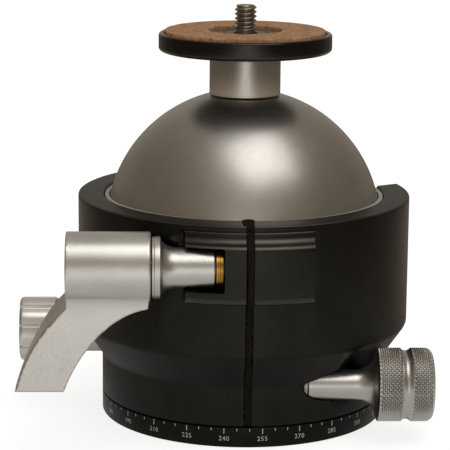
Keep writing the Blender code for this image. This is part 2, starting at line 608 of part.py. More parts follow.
def clamp_collar(metal):
    """Split collar: turned body with a boss, a window, a slit, a drop slot and three bores."""
    liner_foot = BALL_Z - LINER_BELOW_CENTRE - GAP
    seat_top = BALL_Z - math.sqrt(CAVITY_RADIUS ** 2 - SEAT_BORE ** 2)
    recess = WASHER_OUTER + GAP
    inside = [
        (recess, SKIRT_BOTTOM), (recess, WASHER_RECESS_TOP), (TURRET_RADIUS + GAP, WASHER_RECESS_TOP),
        (TURRET_RADIUS + GAP, FLOOR_UNDER), (SPIGOT_RADIUS + GAP, FLOOR_UNDER), (SPIGOT_RADIUS + GAP, FLOOR_TOP),
        (RETAINER_RADIUS + GAP, FLOOR_TOP), (RETAINER_RADIUS + GAP, SHELF_Z), (SEAT_BORE, SHELF_Z)]
    inside += sphere_arc(CAVITY_RADIUS, BALL_Z, seat_top, liner_foot, 3)
    inside += sphere_arc(POCKET_RADIUS, BALL_Z, liner_foot, RIM_Z, 6)
    made = add(turned("clamp_collar", collar_wall() + inside, FINE_STEPS, closed=True), metal)
    combine(made, boss(), "UNION")
    window_half = NOSE_RADIUS + WINDOW_SIDE_GAP
    window_floor = CLAMP_Y + NOSE_RADIUS + GAP
    window = box("nose_window", (FLARE_X, BOSS_FACE_Y - OVERRUN, CLAMP_Z - window_half),
                 (LUG_X, window_floor, CLAMP_Z + window_half))
    slit = box("slit", (-SLIT_WIDTH / 2, BOSS_FACE_Y - OVERRUN, 0),
               (SLIT_WIDTH / 2, -SPIGOT_RADIUS, RIM_Z + OVERRUN))
    clamp_axis = (0, CLAMP_Y, CLAMP_Z)
    screw_bore = rod("clamp_bore", CLAMP_BORE, LUG_X - OVERRUN, CLAMP_TIP_X + GAP)
    cut(made, lever_scoop(), arm_scoop(), as_cutter(window), as_cutter(screw_bore, place=clamp_axis, turn=ALONG_X))
    friction_axis = (0, 0, FRICTION_Z)
    shoe_bore_end = SHOE_BORE_X + SHOE_LENGTH + OVERRUN
    steps = [(0, FRICTION_KNOB_X), (FRICTION_SLEEVE_RADIUS + GAP, FRICTION_KNOB_X),
             (FRICTION_SLEEVE_RADIUS + GAP, FRICTION_SLEEVE_X + GAP),
             (INSERT_RADIUS + GAP, FRICTION_SLEEVE_X + GAP), (INSERT_RADIUS + GAP, INSERT_X + GAP),
             (FRICTION_BORE, INSERT_X + GAP), (FRICTION_BORE, SHOE_BORE_X),
             (SHOE_RADIUS + GAP, SHOE_BORE_X), (SHOE_RADIUS + GAP, shoe_bore_end), (0, shoe_bore_end)]
    friction_bore = turned("friction_bore", list(reversed(steps)), SMALL_STEPS)
    pan_axis = (0, PAN_LOCK_Y, PAN_LOCK_Z)
    stem_bore = PAN_LOCK_STEM_RADIUS + GAP
    blind_end = PAN_LOCK_TIP_X - GAP
    steps = [(0, PAN_LOCK_KNOB_X), (stem_bore, PAN_LOCK_KNOB_X), (stem_bore, PAN_LOCK_SEAT_X),
             (PAN_LOCK_BORE, PAN_LOCK_SEAT_X), (PAN_LOCK_BORE, blind_end), (0, blind_end)]
    pan_bore = turned("pan_lock_bore", steps, SMALL_STEPS)
    cut(made, as_cutter(friction_bore, place=friction_axis, turn=ALONG_X), pan_lock_relief(),
        as_cutter(pan_bore, place=pan_axis, turn=ALONG_X), drop_slot("collar_drop_slot", DROP_SLOT_HALF),
        as_cutter(slit))
    return made


def ball_liner(plastic):
    """Thin moulded shell between the ball and the collar."""
    top = RIM_Z - GAP
    foot = BALL_Z - LINER_BELOW_CENTRE
    profile = sphere_arc(LINER_OUTER, BALL_Z, top, foot, 6) + sphere_arc(LINER_INNER, BALL_Z, foot, top, 6)
    made = add(turned("ball_liner", profile, FINE_STEPS, closed=True), plastic)
    cut(made, drop_slot("liner_drop_slot", DROP_SLOT_HALF + GAP))
    return made


def slit_seal(foam):
    """Strip that fills the slit, following the collar and the boss a little inside them."""
    face_low = CLAMP_Z - BOSS_FACE_BELOW_AXIS
    face_high = CLAMP_Z + BOSS_FACE_ABOVE_AXIS
    ledge = CLAMP_Z + BOSS_LEDGE_ABOVE_AXIS
    foot = cone_foot()
    wall_y = SEAL_INSET - COLLAR_RADIUS
    face_y = BOSS_FACE_Y + SEAL_INSET
    skirt_y = SEAL_INSET - WAIST_RADIUS
    back_y = -(LINER_OUTER + 2 * GAP)
    skirt_back = -(WASHER_OUTER + 2 * GAP)
    top = RIM_Z - GAP
    outline = [(wall_y, top), (wall_y, ledge - SEAL_INSET), (wall_y - BOSS_LEDGE_DEPTH, ledge - SEAL_INSET)]
    outline += arc((-BOSS_CROWN_RADIUS, BOSS_COVE_Z), BOSS_COVE + SEAL_INSET, 0, -math.pi / 2, 3)
    outline += [
        (face_y, face_high - SEAL_INSET),
        (face_y, face_low), (face_y + BOSS_BOTTOM_ROUND, face_low - BOSS_BOTTOM_ROUND + SEAL_INSET),
        (wall_y, face_low - BOSS_BOTTOM_ROUND + SEAL_INSET), (wall_y, SHOULDER_Z), (skirt_y, foot),
        (skirt_y, SKIRT_BOTTOM + GAP), (skirt_back, SKIRT_BOTTOM + GAP), (skirt_back, foot),
        (back_y, SHOULDER_Z), (back_y, top)]
    made = add(prism("slit_seal", outline, GAP - SLIT_WIDTH / 2, SLIT_WIDTH / 2 - GAP, SIDE), foam)
    hole = rod("seal_screw_hole", CLAMP_BORE, -SLIT_WIDTH, SLIT_WIDTH)
    cut(made, as_cutter(hole, place=(0, CLAMP_Y, CLAMP_Z), turn=ALONG_X))
    return made


def seat_spring(steel):
    """Wave washer under the seat: a flat ring whose height follows three waves."""
    inner = SPRING_OUTER - SPRING_WIDTH
    mesh = bpy.data.meshes.new("seat_spring")
    shaped = bmesh.new()
    rings = []
    for i in range(MEDIUM_STEPS):
        angle = 2 * math.pi * i / MEDIUM_STEPS
        wave = SPRING_WAVE * (1 + math.sin(SPRING_WAVES * angle))
        ring = []
        for radius, z in ((inner, 0), (SPRING_OUTER, 0), (SPRING_OUTER, SPRING_THICKNESS),
                          (inner, SPRING_THICKNESS)):
            corner = (radius * math.cos(angle), radius * math.sin(angle), z + wave)
            ring.append(shaped.verts.new(corner))
        rings.append(ring)
    for i, ring in enumerate(rings):
        after = rings[(i + 1) % MEDIUM_STEPS]
        for k in range(4):
            shaped.faces.new((ring[k], after[k], after[(k + 1) % 4], ring[(k + 1) % 4]))
    bmesh.ops.recalc_face_normals(shaped, faces=shaped.faces)
    bmesh.ops.triangulate(shaped, faces=shaped.faces)
    shaped.to_mesh(mesh)
    shaped.free()
    made = add(bpy.data.objects.new("seat_spring", mesh), steel)
    made.location.z = SPRING_BOTTOM
    return made


def lower_ball_seat(plastic):
    """Ring under the ball whose top is part of the liner's sphere, about the ball's centre."""
    inner = SEAT_OUTER - SEAT_WIDTH
    low = SEAT_BOTTOM - BALL_Z
    start = -math.sqrt(LINER_INNER ** 2 - SEAT_OUTER ** 2)
    end = -math.sqrt(LINER_INNER ** 2 - inner ** 2)
    top = list(reversed(sphere_arc(LINER_INNER, 0, start, end, 5)))
    profile = top + [(SEAT_OUTER, low), (inner, low)]
    return add(turned("lower_ball_seat", profile, MEDIUM_STEPS, closed=True), plastic)


def ball(metal):
    """The ball, with its spot face and the stud's bore, about its centre."""
    bottom = BALL_SPOT_Z - STUD_IN_BALL - GAP
    bore = STUD_RADIUS + GAP
    profile = [(0, bottom), (bore, bottom), (bore, BALL_SPOT_Z)]
    profile += arc((0, 0), BALL_RADIUS, math.asin(BALL_SPOT_Z / BALL_RADIUS), -math.pi / 2, 16)
    profile[-1] = (0, -BALL_RADIUS)
    return add(turned("ball", profile, FINE_STEPS), metal)


def neck(metal):
    stud_bore = STUD_RADIUS + GAP
    screw_bore = CAMERA_SCREW_RADIUS + GAP
    stud_end = NECK_BOTTOM + STUD_IN_NECK + GAP
    screw_end = NECK_TOP - SCREW_IN_NECK - GAP
    profile = [
        (0, screw_end), (screw_bore, screw_end), (screw_bore, NECK_TOP), (NECK_RADIUS - NECK_EDGE, NECK_TOP),
        (NECK_RADIUS, NECK_TOP - NECK_EDGE), (NECK_RADIUS, NECK_BOTTOM + NECK_EDGE),
        (NECK_RADIUS - NECK_EDGE, NECK_BOTTOM), (stud_bore, NECK_BOTTOM), (stud_bore, stud_end), (0, stud_end)]
    return add(turned("neck", profile, MEDIUM_STEPS), metal)


def camera_platform(metal):
    recess = CORK_RADIUS + GAP
    hole = CAMERA_SCREW_RADIUS + GAP
    profile = [
        (hole, CORK_RECESS_Z), (recess, CORK_RECESS_Z), (recess, PLATFORM_TOP),
        (PLATFORM_RADIUS - PLATFORM_TOP_EDGE, PLATFORM_TOP), (PLATFORM_RADIUS, PLATFORM_TOP - PLATFORM_TOP_EDGE),
        (PLATFORM_RADIUS, PLATFORM_BOTTOM + PLATFORM_BOTTOM_EDGE),
        (PLATFORM_RADIUS - PLATFORM_BOTTOM_EDGE, PLATFORM_BOTTOM), (hole, PLATFORM_BOTTOM)]
    return add(turned("camera_platform", profile, FINE_STEPS, closed=True), metal)


def camera_screw(steel):
    tip = CORK_TOP + CAMERA_SCREW_PROUD
    low = NECK_TOP - SCREW_IN_NECK
    profile = [(0, tip), (CAMERA_SCREW_RADIUS - CAMERA_SCREW_TIP, tip),
               (CAMERA_SCREW_RADIUS, tip - CAMERA_SCREW_TIP), (CAMERA_SCREW_RADIUS, low), (0, low)]
    return add(turned("camera_screw", profile, SMALL_STEPS), steel)


def clamp_sleeve(metal):
    """Flange, hollow flare and nose between the lever's hub and the brass washer."""
    hollow = FLANGE_RADIUS - NOSE_RADIUS
    profile = [(CLAMP_BORE, NOSE_X), (NOSE_RADIUS, NOSE_X)]
    for i in range(8):
        swing = math.pi / 2 * i / 7
        radius = NOSE_RADIUS + hollow * (1 - math.cos(swing))
        profile.append((radius, FLARE_X - FLARE_LENGTH * math.sin(swing)))
    low = FLANGE_X - FLANGE_LENGTH
    profile += [(FLANGE_RADIUS, low), (CLAMP_BORE, low)]
    return add(turned("clamp_sleeve", profile, MEDIUM_STEPS, closed=True), metal)


def clamp_screw(steel):
    head = HUB_END_X + GAP
    profile = [(0, CLAMP_TIP_X), (CLAMP_SCREW_RADIUS, CLAMP_TIP_X), (CLAMP_SCREW_RADIUS, CLAMP_SEAT_X),
               (CLAMP_HEAD_RADIUS, CLAMP_SEAT_X), (CLAMP_HEAD_RADIUS, head), (0, head)]
    return add(turned("clamp_screw", profile, SMALL_STEPS), steel)


def clamp_lever(metal):
    """Hub with a swept arm; the arm is the meeting of a front outline and a side outline."""
    hub = add(turned("clamp_lever", [
        (CLAMP_BORE, HUB_X), (HUB_RADIUS - HUB_EDGE, HUB_X), (HUB_RADIUS, HUB_X - HUB_EDGE),
        (HUB_RADIUS, HUB_END_X + HUB_EDGE), (HUB_RADIUS - HUB_EDGE, HUB_END_X),
        (CLAMP_HEAD_RADIUS + GAP, HUB_END_X), (CLAMP_HEAD_RADIUS + GAP, CLAMP_SEAT_X + GAP),
        (CLAMP_BORE, CLAMP_SEAT_X + GAP)], MEDIUM_STEPS, closed=True), metal)
    tip_x = HUB_END_X - LEVER_SWEEP
    tip_inner_x = tip_x + LEVER_TIP_WIDTH
    outer = [(HUB_END_X + (tip_x - HUB_END_X) * u, -LEVER_DROP * v) for u, v in OUTER_EDGE_SHARES]
    inner = [(HUB_X + (tip_inner_x - HUB_X) * u, -LEVER_DROP * v) for u, v in INNER_EDGE_SHARES]
    root = -(CLAMP_HEAD_RADIUS + ARM_ROOT_WALL)
    front_outline = [(HUB_X - HUB_EDGE, root), (HUB_END_X + HUB_EDGE, root)]
    front_outline += swept_edge(outer, EDGE_STEPS) + list(reversed(swept_edge(inner, EDGE_STEPS)))
    front = [(HUB_RADIUS * u, -LEVER_DROP * v) for u, v in FRONT_EDGE_SHARES]
    back = [(HUB_RADIUS * u, -LEVER_DROP * v) for u, v in BACK_EDGE_SHARES]
    side_outline = [(front[0][0], root), *swept_edge(front, EDGE_STEPS)]
    side_outline += [*reversed(swept_edge(back, EDGE_STEPS)), (back[0][0], root)]
    arm = as_cutter(prism("lever_arm", front_outline, -2 * HUB_RADIUS, 2 * HUB_RADIUS, FRONT), parent=CLAMP)
    side = prism("lever_side", side_outline, HUB_END_X - 2 * LEVER_SWEEP, HUB_X + OVERRUN, SIDE)
    combine(arm, as_cutter(side, parent=CLAMP), "INTERSECT")
    settle(arm)
    combine(hub, arm, "UNION")
    return hub


def friction_sleeve(metal):
    """Sleeve between the friction knob and the insert, with a flare at the knob."""
    spread = FRICTION_FLARE_RADIUS - FRICTION_SLEEVE_RADIUS
    start = FRICTION_SLEEVE_END_X + FRICTION_FLARE_LENGTH
    profile = [(FRICTION_BORE, FRICTION_SLEEVE_X), (FRICTION_SLEEVE_RADIUS, FRICTION_SLEEVE_X)]
    for i in range(6):
        swing = math.pi / 2 * i / 5
        profile.append((FRICTION_SLEEVE_RADIUS + spread * (1 - math.cos(swing)),
                        start - FRICTION_FLARE_LENGTH * math.sin(swing)))
    profile += [(FRICTION_BORE, FRICTION_SLEEVE_END_X)]
    return add(turned("friction_sleeve", profile, MEDIUM_STEPS, closed=True), metal)


def friction_knob(metal):
    """Knob with nine finger lobes between narrow grooves."""
    low, high = FRICTION_KNOB_END_X, FRICTION_KNOB_X
    bore_end = low + FRICTION_BORE_END
    edge = FRICTION_KNOB_EDGE
    profile = [(FRICTION_BORE, high)]
    profile += list(reversed(arc((FRICTION_KNOB_RADIUS - edge, high - edge), edge, 0, math.pi / 2, 3)))
    profile += list(reversed(arc((FRICTION_KNOB_RADIUS - edge, low + edge), edge, -math.pi / 2, 0, 3)))
    profile = [(0, bore_end), (FRICTION_BORE, bore_end), *profile, (0, low)]
    made = add(turned("friction_knob", profile, 4 * LOBE_COUNT), metal)
    grooves = bmesh.new()
    length = high - low + 2 * OVERRUN
    for i in range(LOBE_COUNT):
        angle = LOBE_FIRST_ANGLE + 2 * math.pi * i / LOBE_COUNT
        across = FRICTION_KNOB_RADIUS * math.sin(-angle)
        up = FRICTION_KNOB_RADIUS * math.cos(-angle)
        place = Matrix.Translation((across, up, (low + high) / 2))
        bmesh.ops.create_cone(grooves, cap_ends=True, segments=SMALL_STEPS // 2, radius1=LOBE_GROOVE_RADIUS,
                              radius2=LOBE_GROOVE_RADIUS, depth=length, matrix=place)
    mesh = bpy.data.meshes.new("lobe_grooves")
    grooves.to_mesh(mesh)
    grooves.free()
    cutter = as_cutter(bpy.data.objects.new("lobe_grooves", mesh), parent=FRICTION, turn=ALONG_X)
    cut(made, cutter)
    return made


def friction_shoe(plastic):
    """Plug that rubs on the ball; its end is hollowed to the ball's curve."""
    made = add(rod("friction_shoe", SHOE_RADIUS, SHOE_END_X, 0), plastic)
    ball_space = bmesh.new()
    bmesh.ops.create_uvsphere(ball_space, u_segments=FINE_STEPS, v_segments=FINE_STEPS // 2, radius=LINER_INNER)
    mesh = bpy.data.meshes.new("ball_space")
    ball_space.to_mesh(mesh)
    ball_space.free()
    cut(made, as_cutter(bpy.data.objects.new("ball_space", mesh), place=(0, 0, BALL_Z)))
    return made


def pan_lock_sleeve(metal):
    """Stem that bears on the washer, opening into a flare under the knob."""
    spread = PAN_LOCK_FLARE_RADIUS - PAN_LOCK_STEM_RADIUS
    profile = [(PAN_LOCK_BORE, PAN_LOCK_FLARE_END_X)]
    for i in range(7):
        swing = math.pi / 2 * (6 - i) / 6
        profile.append((PAN_LOCK_STEM_RADIUS + spread * (1 - math.cos(swing)),
                        PAN_LOCK_FLARE_X + PAN_LOCK_FLARE_LENGTH * math.sin(swing)))
    profile += [(PAN_LOCK_STEM_RADIUS, PAN_LOCK_STEM_X), (PAN_LOCK_BORE, PAN_LOCK_STEM_X)]
    return add(turned("pan_lock_sleeve", profile, MEDIUM_STEPS, closed=True), metal)


def pan_lock_knob(metal):
    """Knob with a smooth waist between two gripping bands."""
    low, high = PAN_LOCK_KNOB_X, PAN_LOCK_KNOB_END_X
    top = PAN_LOCK_KNOB_RADIUS
    edge = PAN_LOCK_KNOB_ROUND
    inner_edge = PAN_LOCK_KNOB_INNER_ROUND
    bore_end = high - PAN_LOCK_BORE_END
    waist = []
    for i in range(7):
        share = 1 - i / 6
        dip = PAN_LOCK_GROOVE_DEPTH * math.sin(math.pi * share)
        waist.append((top - dip, low + PAN_LOCK_GROOVE_START + PAN_LOCK_GROOVE_WIDTH * share))
    profile = [(0, high)] + list(reversed(arc((top - edge, high - edge), edge, 0, math.pi / 2, 4)))
    profile += waist
    profile += list(reversed(arc((top - inner_edge, low + inner_edge), inner_edge, -math.pi / 2, 0, 2)))
    profile += [(PAN_LOCK_BORE, low), (PAN_LOCK_BORE, bore_end), (0, bore_end)]
    made = add(turned("pan_lock_knob", profile, MEDIUM_STEPS), metal)
    hole = rod("grub_hole", GRUB_RADIUS + GAP, 0, 2 * top)
    cut(made, as_cutter(hole, parent=PAN_LOCK, place=grub_place(), turn=(math.pi / 2 + GRUB_ANGLE, 0, 0)))
    return made


def grub_place():
    return (PAN_LOCK_KNOB_X + PAN_LOCK_GROOVE_START + PAN_LOCK_GROOVE_WIDTH / 2, 0, 0)


def pan_lock_grub_screw(steel):
    """Small screw in the waist that holds the knob on its screw."""
    outer = PAN_LOCK_KNOB_RADIUS - PAN_LOCK_GROOVE_DEPTH - 2 * GAP
    made = add(rod("pan_lock_grub_screw", GRUB_RADIUS, PAN_LOCK_BORE, outer), steel)
    return put(made, PAN_LOCK, grub_place(), (math.pi / 2 + GRUB_ANGLE, 0, 0))


clear_scene()
PARTS = collection("tripod_ball_head")
CUTTERS = collection("cutters")

anodised = finish("anodised_black", (0.012, 0.010, 0.008), 0.42, 0.6)
scale_black = finish("scale_black", (0.008, 0.008, 0.007), 0.5, 0.4)
ball_metal = finish("ball_bronze_grey", (0.20, 0.17, 0.14), 0.34, 0.9)
satin_silver = finish("satin_silver", (0.56, 0.53, 0.49), 0.32, 1.0)
dark_steel = finish("dark_steel", (0.12, 0.11, 0.09), 0.35, 1.0)
plate_black = finish("plate_black", (0.006, 0.006, 0.005), 0.4, 0.5)
cork_brown = finish("cork", (0.34, 0.19, 0.10), 0.9, 0.0)
brass_metal = finish("brass", (0.55, 0.33, 0.08), 0.3, 1.0)
foam_black = finish("foam", (0.010, 0.010, 0.009), 0.95, 0.0)
liner_grey = finish("liner_grey", (0.28, 0.28, 0.24), 0.45, 0.0)
seat_white = finish("seat_white", (0.6, 0.6, 0.57), 0.4, 0.0)

HOUSING = pivot("pan_axis", (0, 0, 0))
BALL_PIVOT = pivot("ball_pivot", (0, 0, BALL_Z), HOUSING)
STEM = pivot("stem_axis", (0, 0, BALL_Z), BALL_PIVOT)
CLAMP = pivot("clamp_axis", (0, CLAMP_Y, CLAMP_Z), HOUSING)
FRICTION = pivot("friction_axis", (0, 0, FRICTION_Z), HOUSING)
PAN_LOCK = pivot("pan_lock_axis", (0, PAN_LOCK_Y, PAN_LOCK_Z), HOUSING)

pan_base(scale_black)
add(tube("tripod_bushing", THREAD_RADIUS, BUSHING_RADIUS, GAP, FLOOR_TOP - GAP,
         edge=BUSHING_CHAMFER), dark_steel)
base_screws(dark_steel)
add(tube("pan_bearing_washer", TURRET_RADIUS + GAP, WASHER_OUTER, WASHER_BOTTOM,
         WASHER_BOTTOM + WASHER_THICKNESS, steps=FINE_STEPS), seat_white)
pan_retainer(dark_steel)

put(clamp_collar(anodised), HOUSING)
put(ball_liner(liner_grey), HOUSING)
slit_seal(foam_black).parent = HOUSING
seat_spring(dark_steel).parent = HOUSING
put(lower_ball_seat(seat_white), BALL_PIVOT)
put(ball(ball_metal), BALL_PIVOT)

put(neck(ball_metal), STEM)
stud_low = BALL_SPOT_Z - STUD_IN_BALL
put(add(rod("stem_stud", STUD_RADIUS, stud_low, NECK_BOTTOM + STUD_IN_NECK), dark_steel), STEM)
put(camera_platform(plate_black), STEM)
put(add(tube("cork_pad", CORK_HOLE_RADIUS, CORK_RADIUS, CORK_BOTTOM, CORK_TOP, steps=FINE_STEPS), cork_brown), STEM)
ring_bore = CAMERA_SCREW_RADIUS + GAP
put(add(tube("screw_ring", ring_bore, ring_bore + RING_WIDTH, CORK_BOTTOM, CORK_BOTTOM + RING_THICKNESS,
             steps=MEDIUM_STEPS), dark_steel), STEM)
put(camera_screw(dark_steel), STEM)

put(clamp_lever(satin_silver), CLAMP, turn=ALONG_X)
put(clamp_sleeve(satin_silver), CLAMP, turn=ALONG_X)
put(clamp_screw(dark_steel), CLAMP, turn=ALONG_X)
put(add(tube("thrust_washer", CLAMP_BORE, BRASS_RADIUS, BRASS_X - BRASS_THICKNESS, BRASS_X), brass_metal),
    CLAMP, turn=ALONG_X)

put(friction_shoe(seat_white), FRICTION, turn=ALONG_X)
put(add(tube("friction_insert", FRICTION_BORE, INSERT_RADIUS, INSERT_END_X, INSERT_X), brass_metal),
    FRICTION, turn=ALONG_X)
put(friction_sleeve(satin_silver), FRICTION, turn=ALONG_X)
put(friction_knob(satin_silver), FRICTION, turn=ALONG_X)
screw_end = FRICTION_KNOB_END_X + FRICTION_BORE_END + GAP
put(add(rod("friction_screw", FRICTION_SCREW_RADIUS, screw_end, FRICTION_TIP_X), dark_steel),
    FRICTION, turn=ALONG_X)

put(pan_lock_sleeve(satin_silver), PAN_LOCK, turn=ALONG_X)
put(pan_lock_knob(satin_silver), PAN_LOCK, turn=ALONG_X)
put(add(tube("pan_lock_washer", PAN_LOCK_BORE, PAN_LOCK_STEM_RADIUS, PAN_LOCK_WASHER_X,
             PAN_LOCK_WASHER_X + PAN_LOCK_WASHER_THICKNESS), dark_steel), PAN_LOCK, turn=ALONG_X)
lock_end = PAN_LOCK_KNOB_END_X - PAN_LOCK_BORE_END - GAP
put(add(rod("pan_lock_screw", PAN_LOCK_SCREW_RADIUS, PAN_LOCK_TIP_X, lock_end), dark_steel),
    PAN_LOCK, turn=ALONG_X)
pan_lock_grub_screw(dark_steel)

for piece in list(PARTS.objects):
    if piece.type == "MESH":
        settle(piece)
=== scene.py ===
"""Tripod ball head: fine pieces, materials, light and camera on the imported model."""
import json
import math
import random

import bpy
import bmesh
import numpy as np
from mathutils import Matrix, Vector

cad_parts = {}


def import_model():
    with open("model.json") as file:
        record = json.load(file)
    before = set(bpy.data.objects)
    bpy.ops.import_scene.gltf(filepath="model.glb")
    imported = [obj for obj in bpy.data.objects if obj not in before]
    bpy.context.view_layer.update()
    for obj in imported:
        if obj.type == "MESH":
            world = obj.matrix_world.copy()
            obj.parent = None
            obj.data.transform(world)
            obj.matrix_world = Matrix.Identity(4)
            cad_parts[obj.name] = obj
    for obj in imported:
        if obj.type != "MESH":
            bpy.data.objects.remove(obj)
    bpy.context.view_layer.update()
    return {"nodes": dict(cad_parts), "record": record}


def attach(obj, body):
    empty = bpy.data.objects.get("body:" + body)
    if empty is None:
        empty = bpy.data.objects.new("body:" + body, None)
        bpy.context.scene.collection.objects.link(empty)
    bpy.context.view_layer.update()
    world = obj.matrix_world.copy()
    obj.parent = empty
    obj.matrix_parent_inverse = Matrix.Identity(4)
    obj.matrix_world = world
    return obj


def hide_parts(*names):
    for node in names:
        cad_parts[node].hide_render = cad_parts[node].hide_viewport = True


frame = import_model()

# Lengths below are in millimetres, and meshes are scaled to metres when made
MM = 0.001
# How far a cutter runs past what it cuts
PAST = 2

# Ball, its liner and pocket, and the turned form of the collar
BALL_R, BALL_Z = 40.1, 54.8
LINER_R, LINER_BORE_R, LINER_LOW = 41.6, 40.4, 36.3
POCKET_R, LOW_POCKET_R, POCKET_STEP_Z = 41.9, 40.9, 36.0
RIM_Z, RIM_ROUND = 64.8, 0.6
COLLAR_R = 48.26
SHOULDER_Z, SHOULDER_ROUND = 28.5, 3.0
CONE = 34.5
WAIST_R, WAIST_ROUND = 41.4, 2.0
SEAM_LOW, SEAM_TOP, SEAM_R = 5.8, 6.1, 38.3
RING_R, RING_TOP = 28.0, 10.0
BASE_HUB_R, BASE_HUB_TOP = 14.4, 12.0
SLIT = 2.2

# Boss that carries the clamp: face, ledge, ovolo under the ledge's cove, and foot
FACE_Y = -53.0
LEDGE_Z = 63.1
OVOLO_Z, OVOLO_R = 58.6, 1.5
BOSS_FOOT_Z, BOSS_ROUND = 43.4, 2.2

# Axes along X of the clamp, the pan lock and the friction control, each as (y, z)
CLAMP = CLAMP_Y, CLAMP_Z = -47.5, 53.2
PAN = PAN_Y, PAN_Z = -33.8, 16.2
FRICTION = 0, 23.5
BORE_R = 3.3
PAN_KNOB_LOW, PAN_KNOB_HIGH = 36.6, 52.3
FRICTION_KNOB_LOW, FRICTION_KNOB_HIGH = -54.4, -65.5

# Lever hub and clamp sleeve
HUB_R, HUB_X, HUB_END_X = 9.8, -26.9, -49.9
FLANGE_R, FLANGE_X = 8.56, -24.4
NOSE_R, NOSE_X, FLARE_X = 5.45, -9.6, -19.5

# Neck and platform, with the recess for the cork
STUD_R = 4.3
NECK_R, NECK_LOW, NECK_TOP = 10.27, 93.63, 105.9
PLATE_R, PLATE_LOW, PLATE_TOP = 25.0, 106.2, 111.4
RECESS_R, RECESS_Z, PAD_Z = 23.5, 110.5, 110.8
SCREW_HOLE_R = 3.475

# Circle of the base's screws, and how far the scale's marks stand out and reach in
BASE_SCREW_CIRCLE = 10.9
MARK_PROUD, MARK_SUNK = 0.02, 0.05


def arc(centre, radius, start, end, steps):
    """Points of an arc, with the angles in degrees."""
    made = []
    for i in range(steps + 1):
        angle = math.radians(start + (end - start) * i / steps)
        made.append((centre[0] + radius * math.cos(angle), centre[1] + radius * math.sin(angle)))
    return made


def globe(radius, low, high, count):
    """Points on a sphere round the ball's middle, as (radius, height)."""
    return [(math.sqrt(radius ** 2 - (z - BALL_Z) ** 2), z) for z in np.linspace(low, high, count)]


def flare(stem, end, steps):
    """Quarter ellipse from the side of a stem to its wide end, both as (radius, height)."""
    wider, longer = end[0] - stem[0], end[1] - stem[1]
    turns = [math.pi / 2 * i / steps for i in range(steps + 1)]
    return [(stem[0] + wider * (1 - math.cos(turn)), stem[1] + longer * math.sin(turn)) for turn in turns]


def curve(points, steps):
    """A cubic curve through the first and last of four points, pulled by the middle two."""
    a, b, c, d = (Vector(p) for p in points)
    made = []
    for i in range(steps + 1):
        t = i / steps
        s = 1 - t
        made.append(tuple(a * s ** 3 + b * 3 * s * s * t + c * 3 * s * t * t + d * t ** 3))
    return made


def soften(points, steps=5, closed=True):
    """Rounds each corner that carries a third value, the radius of its round."""
    made = []
    count = len(points)
    for i, point in enumerate(points):
        inside = closed or 0 < i < count - 1
        if len(point) < 3 or not inside:
            made.append(tuple(point[:2]))
            continue
        corner = Vector(point[:2])
        before = Vector(points[i - 1][:2]) - corner
        after = Vector(points[(i + 1) % count][:2]) - corner
        half = before.angle(after) / 2
        reach = min(point[2] / math.tan(half), 0.48 * before.length, 0.48 * after.length)
        radius = reach * math.tan(half)
        middle = corner + (before.normalized() + after.normalized()).normalized() * radius / math.sin(half)
        start = corner + before.normalized() * reach - middle
        end = corner + after.normalized() * reach - middle
        first = math.atan2(start.y, start.x)
        turn = (math.atan2(end.y, end.x) - first + math.pi) % (2 * math.pi) - math.pi
        for k in range(steps + 1):
            angle = first + turn * k / steps
            made.append((middle.x + radius * math.cos(angle), middle.y + radius * math.sin(angle)))
    return made


def put(name, data):
    """A new object in the scene."""
    made = bpy.data.objects.new(name, data)
    bpy.context.scene.collection.objects.link(made)
    return made


def shade(thing, sharp=30):
    """Smooth shading that is split at edges of more than sharp degrees."""
    thing.data.shade_smooth()
    thing.data.set_sharp_from_angle(angle=math.radians(sharp))


def mesh_object(name, points, faces, sharp=30):
    """An object from points in millimetres, with outward normals."""
    mesh = bpy.data.meshes.new(name)
    mesh.from_pydata([tuple(p) for p in np.asarray(points) * MM], [], faces)
    tidy = bmesh.new()
    tidy.from_mesh(mesh)
    bmesh.ops.recalc_face_normals(tidy, faces=tidy.faces)
    tidy.to_mesh(mesh)
    tidy.free()
    made = put(name, mesh)
    shade(made, sharp)
    return made


def place(points, axis, centre):
    """Turns points about local Z into world places for an axis along Z or X."""
    points = np.asarray(points, float)
    if axis == "X":
        points = np.stack([points[:, 2], points[:, 1], -points[:, 0]], 1)
        return points + np.array([0, centre[0], centre[1]])
    return points + np.array([centre[0], centre[1], 0])


def lathe(name, profile, steps=192, axis="Z", centre=(0, 0), closed=True, shape=None, sharp=30):
    """A turned solid; shape(angles, radius, height) may change the radius round the axis.

    The profile holds (radius, place along the axis). It closes on itself, or with closed off on the axis.
    """
    angles = np.linspace(0, 2 * math.pi, steps, endpoint=False)
    points = []
    rows = []
    for radius, height in profile:
        if radius <= 1e-6:
            rows.append([len(points)])
            points.append((0, 0, height))
            continue
        radii = np.full(steps, radius) if shape is None else shape(angles, radius, height)
        start = len(points)
        points += list(zip(radii * np.cos(angles), radii * np.sin(angles), np.full(steps, height)))
        rows.append(list(range(start, start + steps)))
    faces = []
    pairs = list(zip(rows, rows[1:]))
    if closed:
        pairs.append((rows[-1], rows[0]))
    for one, two in pairs:
        if len(one) == 1 and len(two) == 1:
            continue
        for i in range(steps):
            k = (i + 1) % steps
            if len(one) == 1:
                faces.append((one[0], two[k], two[i]))
            elif len(two) == 1:
                faces.append((one[i], one[k], two[0]))
            else:
                faces.append((one[i], one[k], two[k], two[i]))
    return mesh_object(name, place(points, axis, centre), faces, sharp)


def rod(name, radius, low, high, steps, axis="Z", centre=(0, 0)):
    """A plain cylinder between two places along its axis."""
    profile = [(0, low), (radius, low), (radius, high), (0, high)]
    return lathe(name, profile, steps, axis, centre, closed=False)


def hexagon(name, across, low, high, axis, centre):
    """A hexagonal cutter for a screw's socket."""
    return rod(name, across / math.sqrt(3), low, high, 6, axis, centre)


